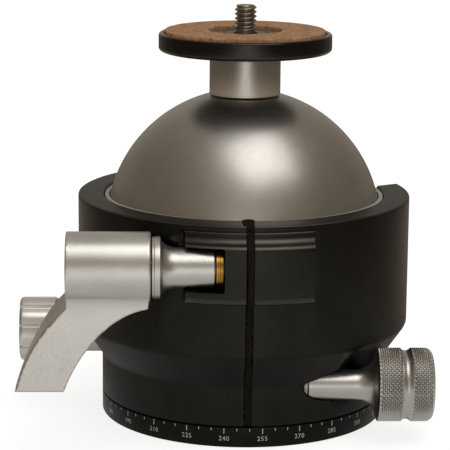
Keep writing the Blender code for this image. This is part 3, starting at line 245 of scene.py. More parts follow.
def prism(name, outline, low, high, along):
    """An outline given thickness: along Z it holds (x, y), along X (y, z), along Y (x, z)."""
    count = len(outline)
    points = []
    for depth in (low, high):
        for u, v in outline:
            points.append({"Z": (u, v, depth), "X": (depth, u, v), "Y": (u, depth, v)}[along])
    faces = [tuple(range(count)), tuple(range(count, 2 * count))]
    faces += [(i, (i + 1) % count, count + (i + 1) % count, count + i) for i in range(count)]
    return mesh_object(name, points, faces)


def loft(name, rings, sharp=30):
    """A closed solid through rings of equal count, with flat ends."""
    count = len(rings[0])
    points = [p for ring in rings for p in ring]
    faces = [tuple(range(count)), tuple(range(len(points) - count, len(points)))]
    for r in range(len(rings) - 1):
        for i in range(count):
            k = (i + 1) % count
            faces.append((r * count + i, r * count + k, (r + 1) * count + k, (r + 1) * count + i))
    return mesh_object(name, points, faces, sharp)


def evaluated(thing):
    """A thing's mesh with its modifiers, or its letters, worked out."""
    bpy.context.view_layer.update()
    graph = bpy.context.evaluated_depsgraph_get()
    return bpy.data.meshes.new_from_object(thing.evaluated_get(graph))


def apply_modifiers(thing):
    mesh = evaluated(thing)
    thing.modifiers.clear()
    thing.data = mesh


def combine(thing, other, operation):
    """A boolean that is applied at once and uses up the other solid."""
    modifier = thing.modifiers.new("combine", "BOOLEAN")
    modifier.operation = operation
    modifier.solver = "EXACT"
    modifier.object = other
    apply_modifiers(thing)
    bpy.data.objects.remove(other, do_unlink=True)
    return thing


def cut(thing, *cutters):
    for cutter in cutters:
        combine(thing, cutter, "DIFFERENCE")


def tone(colour, share):
    return tuple(c * share for c in colour)


class Nodes:
    """Adds and links the nodes of a material or a world."""

    def __init__(self, owner, place="Object", empty=False):
        owner.use_nodes = True
        self.tree = owner.node_tree
        if empty:
            self.tree.nodes.clear()
        self.place = self.add("TexCoord").outputs[place]

    def add(self, kind, links=None, **values):
        """A node with its plain properties, unlinked values and links from other sockets."""
        node = self.tree.nodes.new("ShaderNode" + kind)
        for key, value in values.items():
            setattr(node, key, value)
        for key, source in (links or {}).items():
            if hasattr(source, "is_output"):
                self.tree.links.new(source, node.inputs[key])
            else:
                node.inputs[key].default_value = source
        return node

    def first(self, kind, *sources, **values):
        """The first output of a node whose first inputs are given in order."""
        return self.add(kind, dict(enumerate(sources)), **values).outputs[0]

    def math(self, operation, *terms):
        return self.first("Math", *terms, operation=operation)

    def length(self, source):
        return self.add("VectorMath", {0: source}, operation="LENGTH").outputs["Value"]

    def split(self, source):
        return self.add("SeparateXYZ", {0: source}).outputs

    def noise(self, size, detail=2.0, stretch=None):
        """Noise whose grains are about size millimetres."""
        place = self.place
        if stretch:
            place = self.add("Mapping", {"Vector": place, "Scale": stretch}).outputs["Vector"]
        links = {"Vector": place, "Scale": 1 / (size * MM), "Detail": detail, "Roughness": 0.55}
        return self.add("TexNoise", links).outputs["Fac"]

    def remap(self, source, low=0.0, high=1.0, start=0.3, end=0.7, **values):
        """Low up to start, high from end on, and a slope between them."""
        links = {"Value": source, "From Min": start, "From Max": end, "To Min": low, "To Max": high}
        return self.add("MapRange", links, **values).outputs["Result"]

    def ramp(self, source, *stops):
        """Colours at places from 0 to 1."""
        node = self.add("ValToRGB", {"Fac": source})
        elements = node.color_ramp.elements
        while len(elements) < len(stops):
            elements.new(0.5)
        for element, (where, colour) in zip(elements, stops):
            element.position = where
            element.color = (*colour, 1)
        return node.outputs["Color"]

    def drift(self, size, colour, spread):
        """A colour whose tone drifts a little either way."""
        ends = (0.3, tone(colour, 1 - spread)), (0.7, tone(colour, 1 + spread))
        return self.ramp(self.noise(size, 3.0), *ends)

    def mix(self, factor, one, two, blend="MIX"):
        mixed = self.add("Mix", {0: factor}, data_type="RGBA", blend_type=blend)
        ends = [socket for socket in mixed.inputs if socket.type == "RGBA"]
        self.tree.links.new(one, ends[0])
        self.tree.links.new(two, ends[1])
        return [socket for socket in mixed.outputs if socket.type == "RGBA"][0]

    def times(self, one, two):
        return self.mix(1.0, one, two, "MULTIPLY")

    def strip(self, spread):
        """Brightness across the pale strip in front: 1 in its middle, with a long soft fall."""
        node = self.add("FloatCurve", {"Value": spread})
        points = node.mapping.curves[0].points
        for where, value in ((0.15, 1.0), (0.35, 0.35), (0.75, 0.0)):
            points.new(where, value)
        points[0].location = (0, 1)
        points[-1].location = (1, 0)
        for point in points:
            point.handle_type = "VECTOR"
        node.mapping.update()
        return node.outputs[0]


class Surface(Nodes):
    """A material with one Principled shader."""

    def __init__(self, name, roughness, metallic=0.0, specular=0.5):
        self.material = bpy.data.materials.new(name)
        super().__init__(self.material)
        self.shader = self.tree.nodes["Principled BSDF"]
        values = {"Roughness": roughness, "Metallic": metallic, "Specular IOR Level": specular}
        for socket, value in values.items():
            self.shader.inputs[socket].default_value = value

    def join(self, source, socket):
        self.tree.links.new(source, self.shader.inputs[socket])

    def gloss(self, size, detail, low, high):
        """Roughness that drifts between two values."""
        self.join(self.remap(self.noise(size, detail), low, high), "Roughness")

    def bump(self, source, height, strength=1.0, onto=None):
        """A bump of height millimetres."""
        links = {"Height": source, "Distance": height * MM, "Strength": strength}
        if onto is not None:
            links["Normal"] = onto
        self.join(self.add("Bump", links).outputs["Normal"], "Normal")

    def rounded(self, radius):
        """Normals of slightly rounded edges, radius in millimetres."""
        return self.add("Bevel", {"Radius": radius * MM}, samples=6).outputs["Normal"]


def satin(name, colour, roughness, grain, height, spread=0.12, edge=0.0, tint=None):
    """Bead blasted or anodised metal: a fine grain with a slow drift of tone and gloss.

    tint(made, colour) may give a colour that follows the shape, painted light and shade, on which the drift
    is laid.
    """
    made = Surface(name, roughness, 1.0)
    if tint:
        made.join(made.times(tint(made, colour), made.drift(9.0, (1, 1, 1), spread)), "Base Color")
    else:
        made.join(made.drift(9.0, colour, spread), "Base Color")
    made.gloss(grain * 3, 3.0, roughness - 0.04, roughness + 0.05)
    made.bump(made.noise(grain), height, onto=made.rounded(edge) if edge else None)
    return made.material


def collar_tint(made, colour):
    """Black metal with painted light: its colour is lighter on faces that look down, a painted reflection of
    the floor, and on upward rounds, a painted highlight, and darker on its flat rim, a painted shade.

    Shares of 0, 0.5 and 1 are faces that look down, aside and up. The boss, which stands out of the
    collar's wall, has shares of its own.
    """
    up = made.split(made.add("NewGeometry").outputs["Normal"])["Z"]
    share = made.remap(up, start=-1.0, end=1.0)

    def shades(*stops):
        return made.ramp(share, *((where, tone(colour, times)) for where, times in stops))

    wall_end, boss_start = 48.8 * MM, 49.6 * MM
    # Painted reflection on faces that look down, painted highlight on upward rounds, painted shade on flat
    # tops
    wall = shades((0.12, 3.0), (0.20, 1.0), (0.60, 1.0), (0.72, 2.8), (0.92, 2.8), (0.99, 0.30))
    # On the boss the painted reflection and painted highlight are stronger
    proud = shades((0.10, 3.5), (0.30, 2.8), (0.42, 2.0), (0.49, 1.15), (0.60, 1.15), (0.72, 3.0),
                   (0.92, 3.2))
    reach = made.length(made.first("VectorMath", made.place, (1, 1, 0), operation="MULTIPLY"))
    return made.mix(made.remap(reach, start=wall_end, end=boss_start), wall, proud)


def knurl_tint(made, colour):
    """Metal with painted shade in the cuts of the knurl."""
    hollow = made.add("NewGeometry").outputs["Pointiness"]
    # Painted shade: darker where the surface is hollow
    return made.ramp(hollow, (0.43, tone(colour, 0.42)), (0.497, colour))


def turned_metal(name, colour, roughness, pitch):
    """Metal with the fine rings of the lathe round X and a slow drift of tone."""
    made = Surface(name, roughness, 1.0)
    made.join(made.drift(6.0, colour, 0.12), "Base Color")
    made.gloss(pitch * 4, 2.0, roughness - 0.05, roughness + 0.06)
    made.bump(made.noise(pitch, 3.0, stretch=(1, 0.02, 0.02)), 0.004)
    return made.material


def cork_material():
    """Ground cork: pale and dark crumbs with pores between them."""
    made = Surface("cork_grain", 0.85, 0.0, 0.2)
    crumbs = made.add("TexVoronoi", {"Vector": made.place, "Scale": 1 / (0.9 * MM)})
    grain = made.noise(0.5, 3.0)
    tint = made.ramp(crumbs.outputs["Color"], (0.0, (0.22, 0.103, 0.043)), (0.35, (0.335, 0.172, 0.083)),
                     (0.75, (0.415, 0.228, 0.118)), (1.0, (0.49, 0.29, 0.16)))
    pores = made.ramp(grain, (0.30, (0.35, 0.26, 0.20)), (0.42, (1.0, 1.0, 1.0)))
    made.join(made.times(tint, pores), "Base Color")
    made.bump(grain, 0.12, 0.8)
    return made.material


def foam_material():
    """Black foam, darker in its cells."""
    made = Surface("foam_black", 0.95, 0.0, 0.1)
    cells = made.noise(0.35, 3.0)
    made.join(made.ramp(cells, (0.35, (0.002, 0.0016, 0.0013)), (0.7, (0.022, 0.017, 0.013))), "Base Color")
    made.bump(cells, 0.25)
    return made.material


def plastic(name, colour, roughness):
    """Moulded plastic with a faint drift of tone and gloss."""
    made = Surface(name, roughness)
    made.join(made.drift(5.0, colour, 0.07), "Base Color")
    made.gloss(1.0, 2.0, roughness - 0.05, roughness + 0.05)
    made.bump(made.noise(0.25), 0.01)
    return made.material


def paint_material():
    """Pale filling of the engraved scale, a little worn."""
    made = Surface("scale_paint", 0.6, 0.0, 0.3)
    wear = made.noise(0.5, 3.0)
    made.join(made.ramp(wear, (0.3, (0.40, 0.39, 0.36)), (0.6, (0.60, 0.58, 0.53))), "Base Color")
    made.bump(wear, 0.01)
    return made.material


# Colours and finishes, under the name of a slot or, where one slot has two looks, a name of their own
SILVER = (0.70, 0.68, 0.64)
finishes = {
    # The collar's black carries painted reflection, highlight and shade, set by which way each face looks
    "anodised_black": satin("housing_black", (0.0295, 0.0275, 0.0240), 0.36, 0.22, 0.006, edge=0.25,
                            tint=collar_tint),
    "scale_black": satin("base_black", (0.022, 0.021, 0.018), 0.34, 0.22, 0.004),
    "scale_paint": paint_material(),
    "plate_black": satin("platform_black", (0.044, 0.042, 0.038), 0.18, 0.22, 0.004),
    "ball_metal": satin("ball_bronze_grey", (0.60, 0.575, 0.535), 0.34, 0.20, 0.011, spread=0.04),
    "neck_metal": satin("neck_bronze_grey", (0.50, 0.46, 0.40), 0.24, 0.20, 0.006, spread=0.03),
    "satin_silver": satin("silver_satin", SILVER, 0.32, 0.20, 0.008, spread=0.04),
    "knob_silver": satin("silver_bright", (0.88, 0.86, 0.82), 0.34, 0.20, 0.008, spread=0.04),
    # The knurled silver has painted shade in its cuts
    "knurl_silver": satin("silver_knurled", SILVER, 0.32, 0.20, 0.008, spread=0.04, tint=knurl_tint),
    "dark_steel": satin("steel_dark", (0.12, 0.11, 0.09), 0.30, 0.30, 0.008),
    "steel_bright": satin("steel_bright", (0.46, 0.42, 0.36), 0.24, 0.30, 0.004),
    "cork": cork_material(),
    "brass": turned_metal("brass_turned", (0.62, 0.36, 0.08), 0.25, 0.25),
    "foam": foam_material(),
    "liner_grey": plastic("liner_plastic", (0.30, 0.30, 0.26), 0.42),
    "seat_white": plastic("seat_plastic", (0.60, 0.60, 0.57), 0.40),
}

for row in frame["record"]["subparts"]:
    node = frame["nodes"][row["node"]]
    node.data.materials.clear()
    node.data.materials.append(finishes[row["material_slot"]])
    for polygon in node.data.polygons:
        polygon.material_index = 0
frame["nodes"]["pan_lock_washer"].data.materials[0] = finishes["steel_bright"]


def piece(thing, body, slot, *nodes, finish=None):
    """Files a finished piece: its material, the body it moves with and the nodes it stands for."""
    thing.data.materials.clear()
    thing.data.materials.append(finishes[finish or slot])
    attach(thing, body)
    if nodes:
        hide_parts(*nodes)


def waist_round_z():
    """Height at which the round between the cone and the waist ends."""
    lean = math.radians(CONE)
    rounds = SHOULDER_ROUND + WAIST_ROUND
    inward = COLLAR_R - WAIST_R - rounds * (1 - math.cos(lean))
    return SHOULDER_Z - rounds * math.sin(lean) - inward / math.tan(lean)


def boss():
    """Raised block, turned with the collar, with side fillets, a rounded foot and a moulded top edge."""
    face, inner = -FACE_Y, 45.1
    crown = face - OVOLO_R
    ledge, ledge_round, ledge_thick = COLLAR_R + 1.0, 0.5, 0.75
    cove = crown - ledge
    top = [(inner, LEDGE_Z)] + arc((ledge - ledge_round, LEDGE_Z - ledge_round), ledge_round, 90, 0, 6)
    profile = top + arc((crown, OVOLO_Z + OVOLO_R + cove), cove, 180, 270, 12)
    profile += arc((crown, OVOLO_Z), OVOLO_R, 90, 0, 8)[1:]
    profile += arc((face - BOSS_ROUND, BOSS_FOOT_Z + BOSS_ROUND), BOSS_ROUND, 0, -90, 12)
    block = lathe("boss", profile + [(inner, BOSS_FOOT_Z)], 360)

    half, corner, fillet = 17.7, 0.5, 1.4
    corner_x = half - corner
    corner_y = -math.sqrt((face - corner) ** 2 - corner_x ** 2)
    start = math.degrees(math.atan2(corner_y, corner_x))
    fillet_x = half + fillet
    fillet_y = -math.sqrt((COLLAR_R + fillet) ** 2 - fillet_x ** 2)
    end = math.degrees(math.atan2(-fillet_y, -fillet_x))
    right = [(corner_x + corner * math.cos(math.radians(start)), FACE_Y - PAST)]
    right += arc((corner_x, corner_y), corner, start, 0, 6) + arc((fillet_x, fillet_y), fillet, 180, end, 10)
    lean = math.atan2(right[-1][0], -right[-1][1])
    back = inner - PAST
    right += [(back * math.sin(lean * share), -back * math.cos(lean * share)) for share in (1, 0.5)]
    outline = right + [(0, -back)] + [(-x, y) for x, y in reversed(right)]
    combine(block, prism("boss_plan", outline, BOSS_FOOT_Z - PAST, LEDGE_Z + PAST, "Z"), "INTERSECT")

    under = LEDGE_Z - ledge_thick
    lip = lathe("boss_lip", top + [(ledge, under), (inner, under)], 360)
    lip_x = 17.6
    edge = [(lip_x, -60), (lip_x, -math.sqrt(ledge ** 2 - lip_x ** 2)), (19.05, -44.3), (18.2, -42.5)]
    outline = edge + [(-x, y) for x, y in reversed(edge)]
    combine(lip, prism("lip_plan", outline, LEDGE_Z - PAST, LEDGE_Z + PAST, "Z"), "INTERSECT")
    return combine(block, lip, "UNION")


def drop_slot(name, half):
    """Cutter for the slot at the back right that the neck drops into."""
    inner, outer, turn = 37.9, 50.3, math.radians(30)
    outline = arc((0, BALL_Z), half, -180, 0, 48) + [(half, RIM_Z + PAST), (-half, RIM_Z + PAST)]
    slot = prism(name, outline, inner, outer, "X")
    slot.data.transform(Matrix.Rotation(turn, 4, "Z"))
    return slot


def clamp_collar():
    """Split collar with boss, window, slit, drop slot, bores and hollows."""
    foot, gap = waist_round_z(), 0.3
    washer_top, retainer_r, well_r, well_z, pocket_low = 7.0, 17.5, 21.95, 14.1, 20.29
    profile = arc((COLLAR_R - RIM_ROUND, RIM_Z - RIM_ROUND), RIM_ROUND, 90, 0, 6)
    profile += arc((COLLAR_R - SHOULDER_ROUND, SHOULDER_Z), SHOULDER_ROUND, 0, -CONE, 8)
    profile += arc((WAIST_R + WAIST_ROUND, foot), WAIST_ROUND, 180 - CONE, 180, 6)
    profile += soften([(WAIST_R, foot), (WAIST_R, SEAM_TOP, 0.3), (SEAM_R, SEAM_TOP)], closed=False)[1:]
    profile += [
        (SEAM_R, washer_top), (RING_R + gap, washer_top), (RING_R + gap, RING_TOP + gap),
        (BASE_HUB_R + gap, RING_TOP + gap), (BASE_HUB_R + gap, BASE_HUB_TOP), (retainer_r, BASE_HUB_TOP),
        (retainer_r, well_z), (well_r, well_z)]
    profile += globe(LOW_POCKET_R, pocket_low, POCKET_STEP_Z, 10)
    bevel = 0.5
    profile += globe(POCKET_R, POCKET_STEP_Z, RIM_Z - bevel, 24)
    profile.append((math.sqrt(POCKET_R ** 2 - (RIM_Z - BALL_Z) ** 2) + bevel, RIM_Z))
    made = lathe("collar", profile, 288)
    combine(made, boss(), "UNION")

    # Room for the lever's hub, its arm and the sleeve, and the window over the washer
    scoop_r, scoop_end, swing_r, swing_end = 10.5, -52, 13.0, HUB_END_X - 13.9
    window, window_end, window_back, clear = 6.15, -7.0, -41.75, 0.7
    scoop = lathe("scoop", [
        (0, FLARE_X + clear), (window, FLARE_X + clear), (window + clear, FLARE_X),
        (FLANGE_R + clear, FLANGE_X + clear), (scoop_r, HUB_X + clear), (scoop_r, scoop_end), (0, scoop_end)],
        96, "X", CLAMP, closed=False)
    swing = prism("swing", arc(CLAMP, swing_r, -90, 0, 24) + [CLAMP], swing_end, HUB_X + clear, "X")
    opening = prism("window", soften([
        (FLARE_X, CLAMP_Z - window), (window_end, CLAMP_Z - window, 0.5), (window_end, CLAMP_Z + window, 0.5),
        (FLARE_X, CLAMP_Z + window)]), FACE_Y - PAST, window_back, "Y")
    bore = rod("bore", BORE_R, window_end - PAST, 13.0, 48, "X", CLAMP)

    # Bores for the friction control's stem, insert and shoe
    stem_r, insert_r, shoe_r = 7.0, 5.8, 2.5
    stem_end, insert_end, screw_end, shoe_end = -40.1, -35.1, -33.5, -24.5
    shoe = lathe("friction_bore", [
        (0, FRICTION_KNOB_LOW), (stem_r, FRICTION_KNOB_LOW), (stem_r, stem_end), (insert_r, stem_end),
        (insert_r, insert_end), (BORE_R, insert_end), (BORE_R, screw_end), (shoe_r, screw_end),
        (shoe_r, shoe_end), (0, shoe_end)], 96, "X", FRICTION, closed=False)

    # Hollow over the pan lock's stem, and the bore for its sleeve and screw
    relief_r, relief_round, relief_z = 11.8, 7.3, 33.4
    hollow = [(0, PAN_KNOB_HIGH), (relief_r, PAN_KNOB_HIGH)]
    hollow += arc((relief_r - relief_round, relief_z), relief_round, 0, -90, 24)
    relief = lathe("relief", hollow + [(0, relief_z - relief_round)], 96, "X", PAN, closed=False)
    upper = [(-60, PAN_Z), (0, PAN_Z), (0, PAN_Z + 20), (-60, PAN_Z + 20)]
    combine(relief, prism("relief_top", upper, 20, 60, "X"), "INTERSECT")
    mouth_r, sleeve_r, sleeve_end, bore_end = 4.9, 4.5, 15.8, -15.3
    stem = lathe("pan_bore", [
        (0, 37.0), (mouth_r, 37.0), (mouth_r, 24.0), (sleeve_r, 23.6), (sleeve_r, sleeve_end),
        (BORE_R, sleeve_end), (BORE_R, bore_end), (0, bore_end)], 64, "X", PAN, closed=False)

    side, slit_end = SLIT / 2, -14.4
    front = FACE_Y - PAST
    slit = prism("slit", [(-side, front), (side, front), (side, slit_end), (-side, slit_end)],
                 -1, RIM_Z + PAST, "Z")
    cut(made, scoop, swing, opening, bore, shoe, relief, stem, drop_slot("drop", 12.0), slit)
    shade(made, 24)
    piece(made, "housing", "anodised_black", "clamp_collar")


def ball_liner():
    """Thin liner whose upper edge shows as a ring inside the rim."""
    high, lip, bevel = RIM_Z - 0.5, RIM_Z - 0.3, 0.25
    profile = globe(LINER_R, high, LINER_LOW, 24) + globe(LINER_BORE_R, LINER_LOW, high, 24)
    profile += [(profile[-1][0] + bevel, lip), (profile[0][0] - bevel, lip)]
    made = lathe("liner", profile, 256)
    cut(made, drop_slot("liner_drop", 12.3))
    shade(made, 30)
    piece(made, "housing", "liner_grey", "ball_liner")


def ball():
    """Ball with a spot face under the neck and a blind hole for the stud."""
    hole, spot = 23.233, 38.533
    start = math.degrees(math.asin(spot / BALL_R))
    profile = [(0, BALL_Z + hole), (STUD_R, BALL_Z + hole), (STUD_R, BALL_Z + spot)]
    profile += arc((0, BALL_Z), BALL_R, start, -90, 96)
    profile[-1] = (0, BALL_Z - BALL_R)
    piece(lathe("ball_fine", profile, 288, closed=False, sharp=25), "ball", "ball_metal", "ball")


def neck():
    hole_end, stud_end, bevel = 100.5, 99.2, 0.35
    profile = soften([
        (0, hole_end), (SCREW_HOLE_R, hole_end), (SCREW_HOLE_R, NECK_TOP), (NECK_R, NECK_TOP, bevel),
        (NECK_R, NECK_LOW, bevel), (STUD_R, NECK_LOW), (STUD_R, stud_end), (0, stud_end)], closed=False)
    made = lathe("neck_fine", profile, 160, closed=False)
    piece(made, "platform", "ball_metal", "neck", finish="neck_metal")


def camera_platform():
    profile = soften([
        (SCREW_HOLE_R, RECESS_Z), (RECESS_R, RECESS_Z), (RECESS_R, PLATE_TOP, 0.15),
        (PLATE_R, PLATE_TOP, 0.75), (PLATE_R, PLATE_LOW, 1.15), (SCREW_HOLE_R, PLATE_LOW)], steps=7)
    piece(lathe("platform_fine", profile, 256), "platform", "plate_black", "camera_platform")


def cork_pad():
    """Cork ring whose top and edges are a little uneven."""
    random.seed(4)
    waves = [(random.uniform(0, 6.28), random.randint(5, 60), random.uniform(0.01, 0.035)) for _ in range(14)]
    inner, outer, top = 10.6, 23.1, 112.3

    def uneven(angles, radius, height):
        swell = sum(size * np.sin(count * angles + shift + height) for shift, count, size in waves)
        return radius + swell * (1 if radius < outer - 1 else 0.6)

    profile = soften([(inner, PAD_Z), (inner, top, 0.25), (outer, top, 0.25), (outer, PAD_Z)], steps=3)
    piece(lathe("cork_fine", profile, 360, shape=uneven), "platform", "cork", "cork_pad")


def screw_ring():
    """Flat ring round the screw, with one narrow groove."""
    outer, top, groove = 9.85, 111.45, 111.25
    profile = soften([(SCREW_HOLE_R, PAD_Z), (SCREW_HOLE_R, top, 0.1), (6.2, top, 0.08), (6.4, groove),
                      (6.7, groove), (6.9, top, 0.08), (outer, top, 0.2), (outer, PAD_Z)], steps=3)
    piece(lathe("ring_fine", profile, 128), "platform", "dark_steel", "screw_ring")


def camera_screw():
    """Quarter inch screw with a 1.27 mm thread above a plain waist."""
    pitch, root, crest, waist = 1.27, 2.42, 3.15, 2.75
    foot, start, tip, chamfer = 100.8, 112.5, 119.45, 0.7
    heights = np.concatenate([np.linspace(foot, start - 0.1, 5), np.arange(start, tip, 0.07), [tip]])

    def thread(angles, radius, height):
        phase = (height / pitch - angles / (2 * math.pi)) % 1.0
        ridge = np.clip(1.22 - 2.6 * np.abs(phase - 0.5), 0, 1)
        run_in = min(1.0, max(0.0, (height - start) / 0.5))
        depth = (root + (crest - root) * ridge) * run_in + waist * (1 - run_in)
        return np.minimum(depth, crest - max(0.0, height - tip + chamfer))

    profile = [(0, foot)] + [(crest, z) for z in heights] + [(0, tip)]
    made = lathe("screw_fine", profile, 96, closed=False, shape=thread, sharp=60)
    piece(made, "platform", "dark_steel", "camera_screw", finish="steel_bright")


def clamp_lever():
    """Cast hub with a swept arm: remeshed and smoothed so that its edges are soft.

    The arm's outer edge leans, so its front view is given at two depths and lofted through both.
    """
    drop, root, reach = -32.5, -5.8, -63.8
    near, far = -53.0, -42.0

    def scaled(wide, *points):
        return [(wide * u, drop * v) for u, v in points]

    inner = [(HUB_X - x, z) for x, z in scaled(23.4, (0.026, 0.314), (0.385, 0.345), (0.79, 0.606), (1, 1))]
    views = []
    for outer in ([(HUB_END_X, -10.0), (-58.6, -18.2), (-61.1, -24.0), (-63.6, drop)],
                  [(HUB_END_X, -8.2), (-57.5, -15.7), (-61.2, -24.5), (-63.7, drop)]):
        top = [(HUB_X - 0.4, root), (HUB_END_X + 0.4, root)]
        views.append(top + curve(outer, 40) + curve(inner, 40)[::-1])
    rings = []
    for depth in (-59.0, -36.0):
        share = (depth - near) / (far - near)
        ring = [(a[0] + (b[0] - a[0]) * share, CLAMP_Z + a[1] + (b[1] - a[1]) * share)
                for a, b in zip(*views)]
        rings.append([(max(x, reach), depth, z) for x, z in ring])
    front = scaled(HUB_R, (-0.707, 0.213), (-0.57, 0.255), (-0.66, 0.55), (-0.92, 1.0))
    back = scaled(HUB_R, (0.707, 0.213), (0.90, 0.42), (0.62, 0.62), (-0.15, 1.0))
    side_view = [(front[0][0], root)] + curve(front, 40) + curve(back, 40)[::-1] + [(back[0][0], root)]
    arm = loft("arm", rings)
    side = prism("arm_side", [(CLAMP_Y + y, CLAMP_Z + z) for y, z in side_view], -70, HUB_X + 1, "X")
    combine(arm, side, "INTERSECT")
    hub = rod("lever_fine", HUB_R, HUB_X, HUB_END_X, 128, "X", CLAMP)
    combine(hub, arm, "UNION")
    remesh = hub.modifiers.new("cast", "REMESH")
    remesh.mode = "VOXEL"
    remesh.voxel_size = 0.28 * MM
    apply_modifiers(hub)
    smooth = hub.modifiers.new("soften", "SMOOTH")
    smooth.factor = 0.5
    smooth.iterations = 5
    apply_modifiers(hub)
    head_r, head_seat, mouth, end = 4.9, -44.9, HUB_END_X - 2.1, HUB_X + 1.9
    cut(hub, lathe("head_bore", [
        (0, mouth), (head_r, mouth), (head_r, head_seat), (BORE_R, head_seat), (BORE_R, end), (0, end)],
        64, "X", CLAMP, closed=False))
    shade(hub, 40)
    piece(hub, "lever", "satin_silver", "clamp_lever")


def clamp_sleeve():
    """Sleeve with a nose, a flare, and a flange against the hub."""
    bevel, end = 0.25, -26.6
    profile = [(BORE_R, NOSE_X), (NOSE_R - bevel, NOSE_X), (NOSE_R, NOSE_X - bevel)]
    profile += flare((NOSE_R, FLARE_X), (FLANGE_R, FLANGE_X), 20)
    profile += soften([(FLANGE_R, FLANGE_X), (FLANGE_R, -25.85, 0.3), (8.42, -26.0, 0.1), (8.42, end, 0.15),
                       (BORE_R, end)], steps=4, closed=False)[1:]
    piece(lathe("sleeve_fine", profile, 128, "X", CLAMP), "lever", "satin_silver", "clamp_sleeve")


def clamp_screw():
    """Screw whose head, with its socket, lies in the end of the hub."""
    shank_r, head_r, bevel = 3.0, 4.6, 0.4
    tip, under, top = 12.7, -45.2, -49.6
    profile = soften([(0, tip), (shank_r, tip, bevel), (shank_r, under), (head_r, under),
                      (head_r, top, bevel), (0, top)], closed=False)
    made = lathe("clamp_screw_fine", profile, 64, "X", CLAMP, closed=False)
    cut(made, hexagon("socket", 5.0, top - 0.4, -46.8, "X", CLAMP))
    shade(made)
    piece(made, "lever", "dark_steel", "clamp_screw")


def thrust_washer():
    """Brass washer with three fine grooves round it."""
    outer, groove, start, end = 5.3, 5.12, -7.3, -9.3
    profile = [(BORE_R, start), (outer - 0.2, start), (outer, start - 0.15)]
    for k in range(3):
        x = -7.75 - 0.42 * k
        profile += [(outer, x + 0.1), (groove, x), (outer, x - 0.1)]
    profile += [(outer, end + 0.15), (outer - 0.2, end), (BORE_R, end)]
    piece(lathe("washer_fine", profile, 96, "X", CLAMP), "clamp_thrust", "brass", "thrust_washer")


def friction_knob():
    """Knob with nine lobes between narrow grooves that fade out towards its ends' middles."""
    core, top, edge = 7.5, 9.45, 1.0
    start, end = FRICTION_KNOB_LOW, FRICTION_KNOB_HIGH
    groove_half, groove_depth, lobe_rise = 0.8, 0.9, 0.35
    lobe = 2 * math.pi / 9
    first = math.radians(270 - 17.6)

    def lobes(angles, radius, height):
        if radius < core:
            return np.full_like(angles, radius)
        part = ((angles - first) / lobe + 0.5) % 1.0 - 0.5
        across = np.abs(part) * lobe * top
        groove = np.sqrt(np.clip(1 - (across / groove_half) ** 2, 0, 1)) * groove_depth
        swell = lobe_rise * (np.cos(part * 2 * math.pi) + 1) * 0.5
        return radius - groove * min(1.0, (radius - core) / 1.2) - swell * (radius - core) / (top - core)

    profile = [(0, -63.9), (BORE_R, -63.9), (BORE_R, start)]
    profile += [(radius, start) for radius in (5.0, 7.4, 7.8, 8.2)]
    profile += arc((top - edge, start - edge), edge, 90, 0, 6)
    profile += [(top, x) for x in (-57.5, -60.2, -62.9)]
    profile += arc((top - edge, end + edge), edge, 0, -90, 6)
    profile += [(radius, end) for radius in (8.2, 7.8, 7.4, 0)]
    made = lathe("friction_knob_fine", profile, 540, "X", FRICTION, closed=False, shape=lobes, sharp=40)
    piece(made, "friction_control", "satin_silver", "friction_knob", finish="knob_silver")


def friction_sleeve():
    """Stem between the friction knob and the collar."""
    start, end = -40.4, -54.1
    profile = [(BORE_R, start), (6.5, start), (6.7, start - 0.2)] + flare((6.7, -49.6), (8.6, end), 16)
    made = lathe("friction_sleeve_fine", profile + [(BORE_R, end)], 96, "X", FRICTION)
    piece(made, "friction_control", "satin_silver", "friction_sleeve")


def pan_lock_sleeve():
    """Stem of the pan lock, with a flare at the knob."""
    stem, start, end = 4.2, 17.2, 36.3
    profile = [(BORE_R, end)] + flare((stem, 30.5), (9.2, end), 24)[::-1]
    profile += [(stem, start + 0.15), (stem - 0.15, start), (BORE_R, start)]
    piece(lathe("pan_sleeve_fine", profile, 128, "X", PAN), "pan_lock", "satin_silver", "pan_lock_sleeve")


def knurl(angles, height, count, pitch):
    """Height of a diamond knurl from 0 in the cuts to 1 on the points."""
    turn = angles / (2 * math.pi) * count
    one = np.abs(((turn + height / pitch) % 1.0) * 2 - 1)
    two = np.abs(((turn - height / pitch) % 1.0) * 2 - 1)
    return np.minimum(1 - one, 1 - two)


def pan_lock_knob():
    """Knurled knob with a smooth waist; the knurl runs up to its inner edge and over its outer round."""
    low, high, top, edge, bevel = PAN_KNOB_LOW, PAN_KNOB_HIGH, 10.4, 2.2, 0.4
    waist_start, waist_end = 43.2, 46.2
    step, knurl_depth = 0.085, 0.5

    def grip(angles, radius, height):
        near = min(height - low - 0.25, high - 0.55 - height, max(waist_start - height, height - waist_end))
        if near < 0 or radius < top - edge:
            return np.full_like(angles, radius)
        points = np.clip(knurl(angles, height, 50, 1.2) * 1.2, 0, 1)
        return radius - knurl_depth * min(1.0, near / 0.3) * (1 - points)

    profile = [(0, 49.6), (BORE_R, 49.6), (BORE_R, low), (6.0, low)]
    profile += arc((top - bevel, low + bevel), bevel, -90, 0, 5)
    profile += [(top, x) for x in np.arange(low + 0.48, waist_start, step)]
    for i in range(13):
        across = waist_start + (waist_end - waist_start) * i / 12
        profile.append((top - 0.8 * math.sin(math.pi * i / 12) ** 0.8, across))
    profile += [(top, x) for x in np.arange(waist_end + step, high - edge, step)]
    profile += arc((top - edge, high - edge), edge, 0, 90, 41) + [(0, high)]
    made = lathe("pan_knob_fine", profile, 600, "X", PAN, closed=False, shape=grip, sharp=50)

    lean = math.radians(67)
    reach = Vector((0, -math.cos(lean), -math.sin(lean)))
    turn = Vector((0, 0, 1)).rotation_difference(reach).to_matrix().to_4x4()
    hole = rod("grub_hole", 1.25, 0, 14, 48)
    hole.data.transform(Matrix.Translation(Vector(((waist_start + waist_end) / 2, PAN_Y, PAN_Z)) * MM) @ turn)
    cut(made, hole)
    shade(made, 50)
    piece(made, "pan_lock", "satin_silver", "pan_lock_knob", finish="knurl_silver")


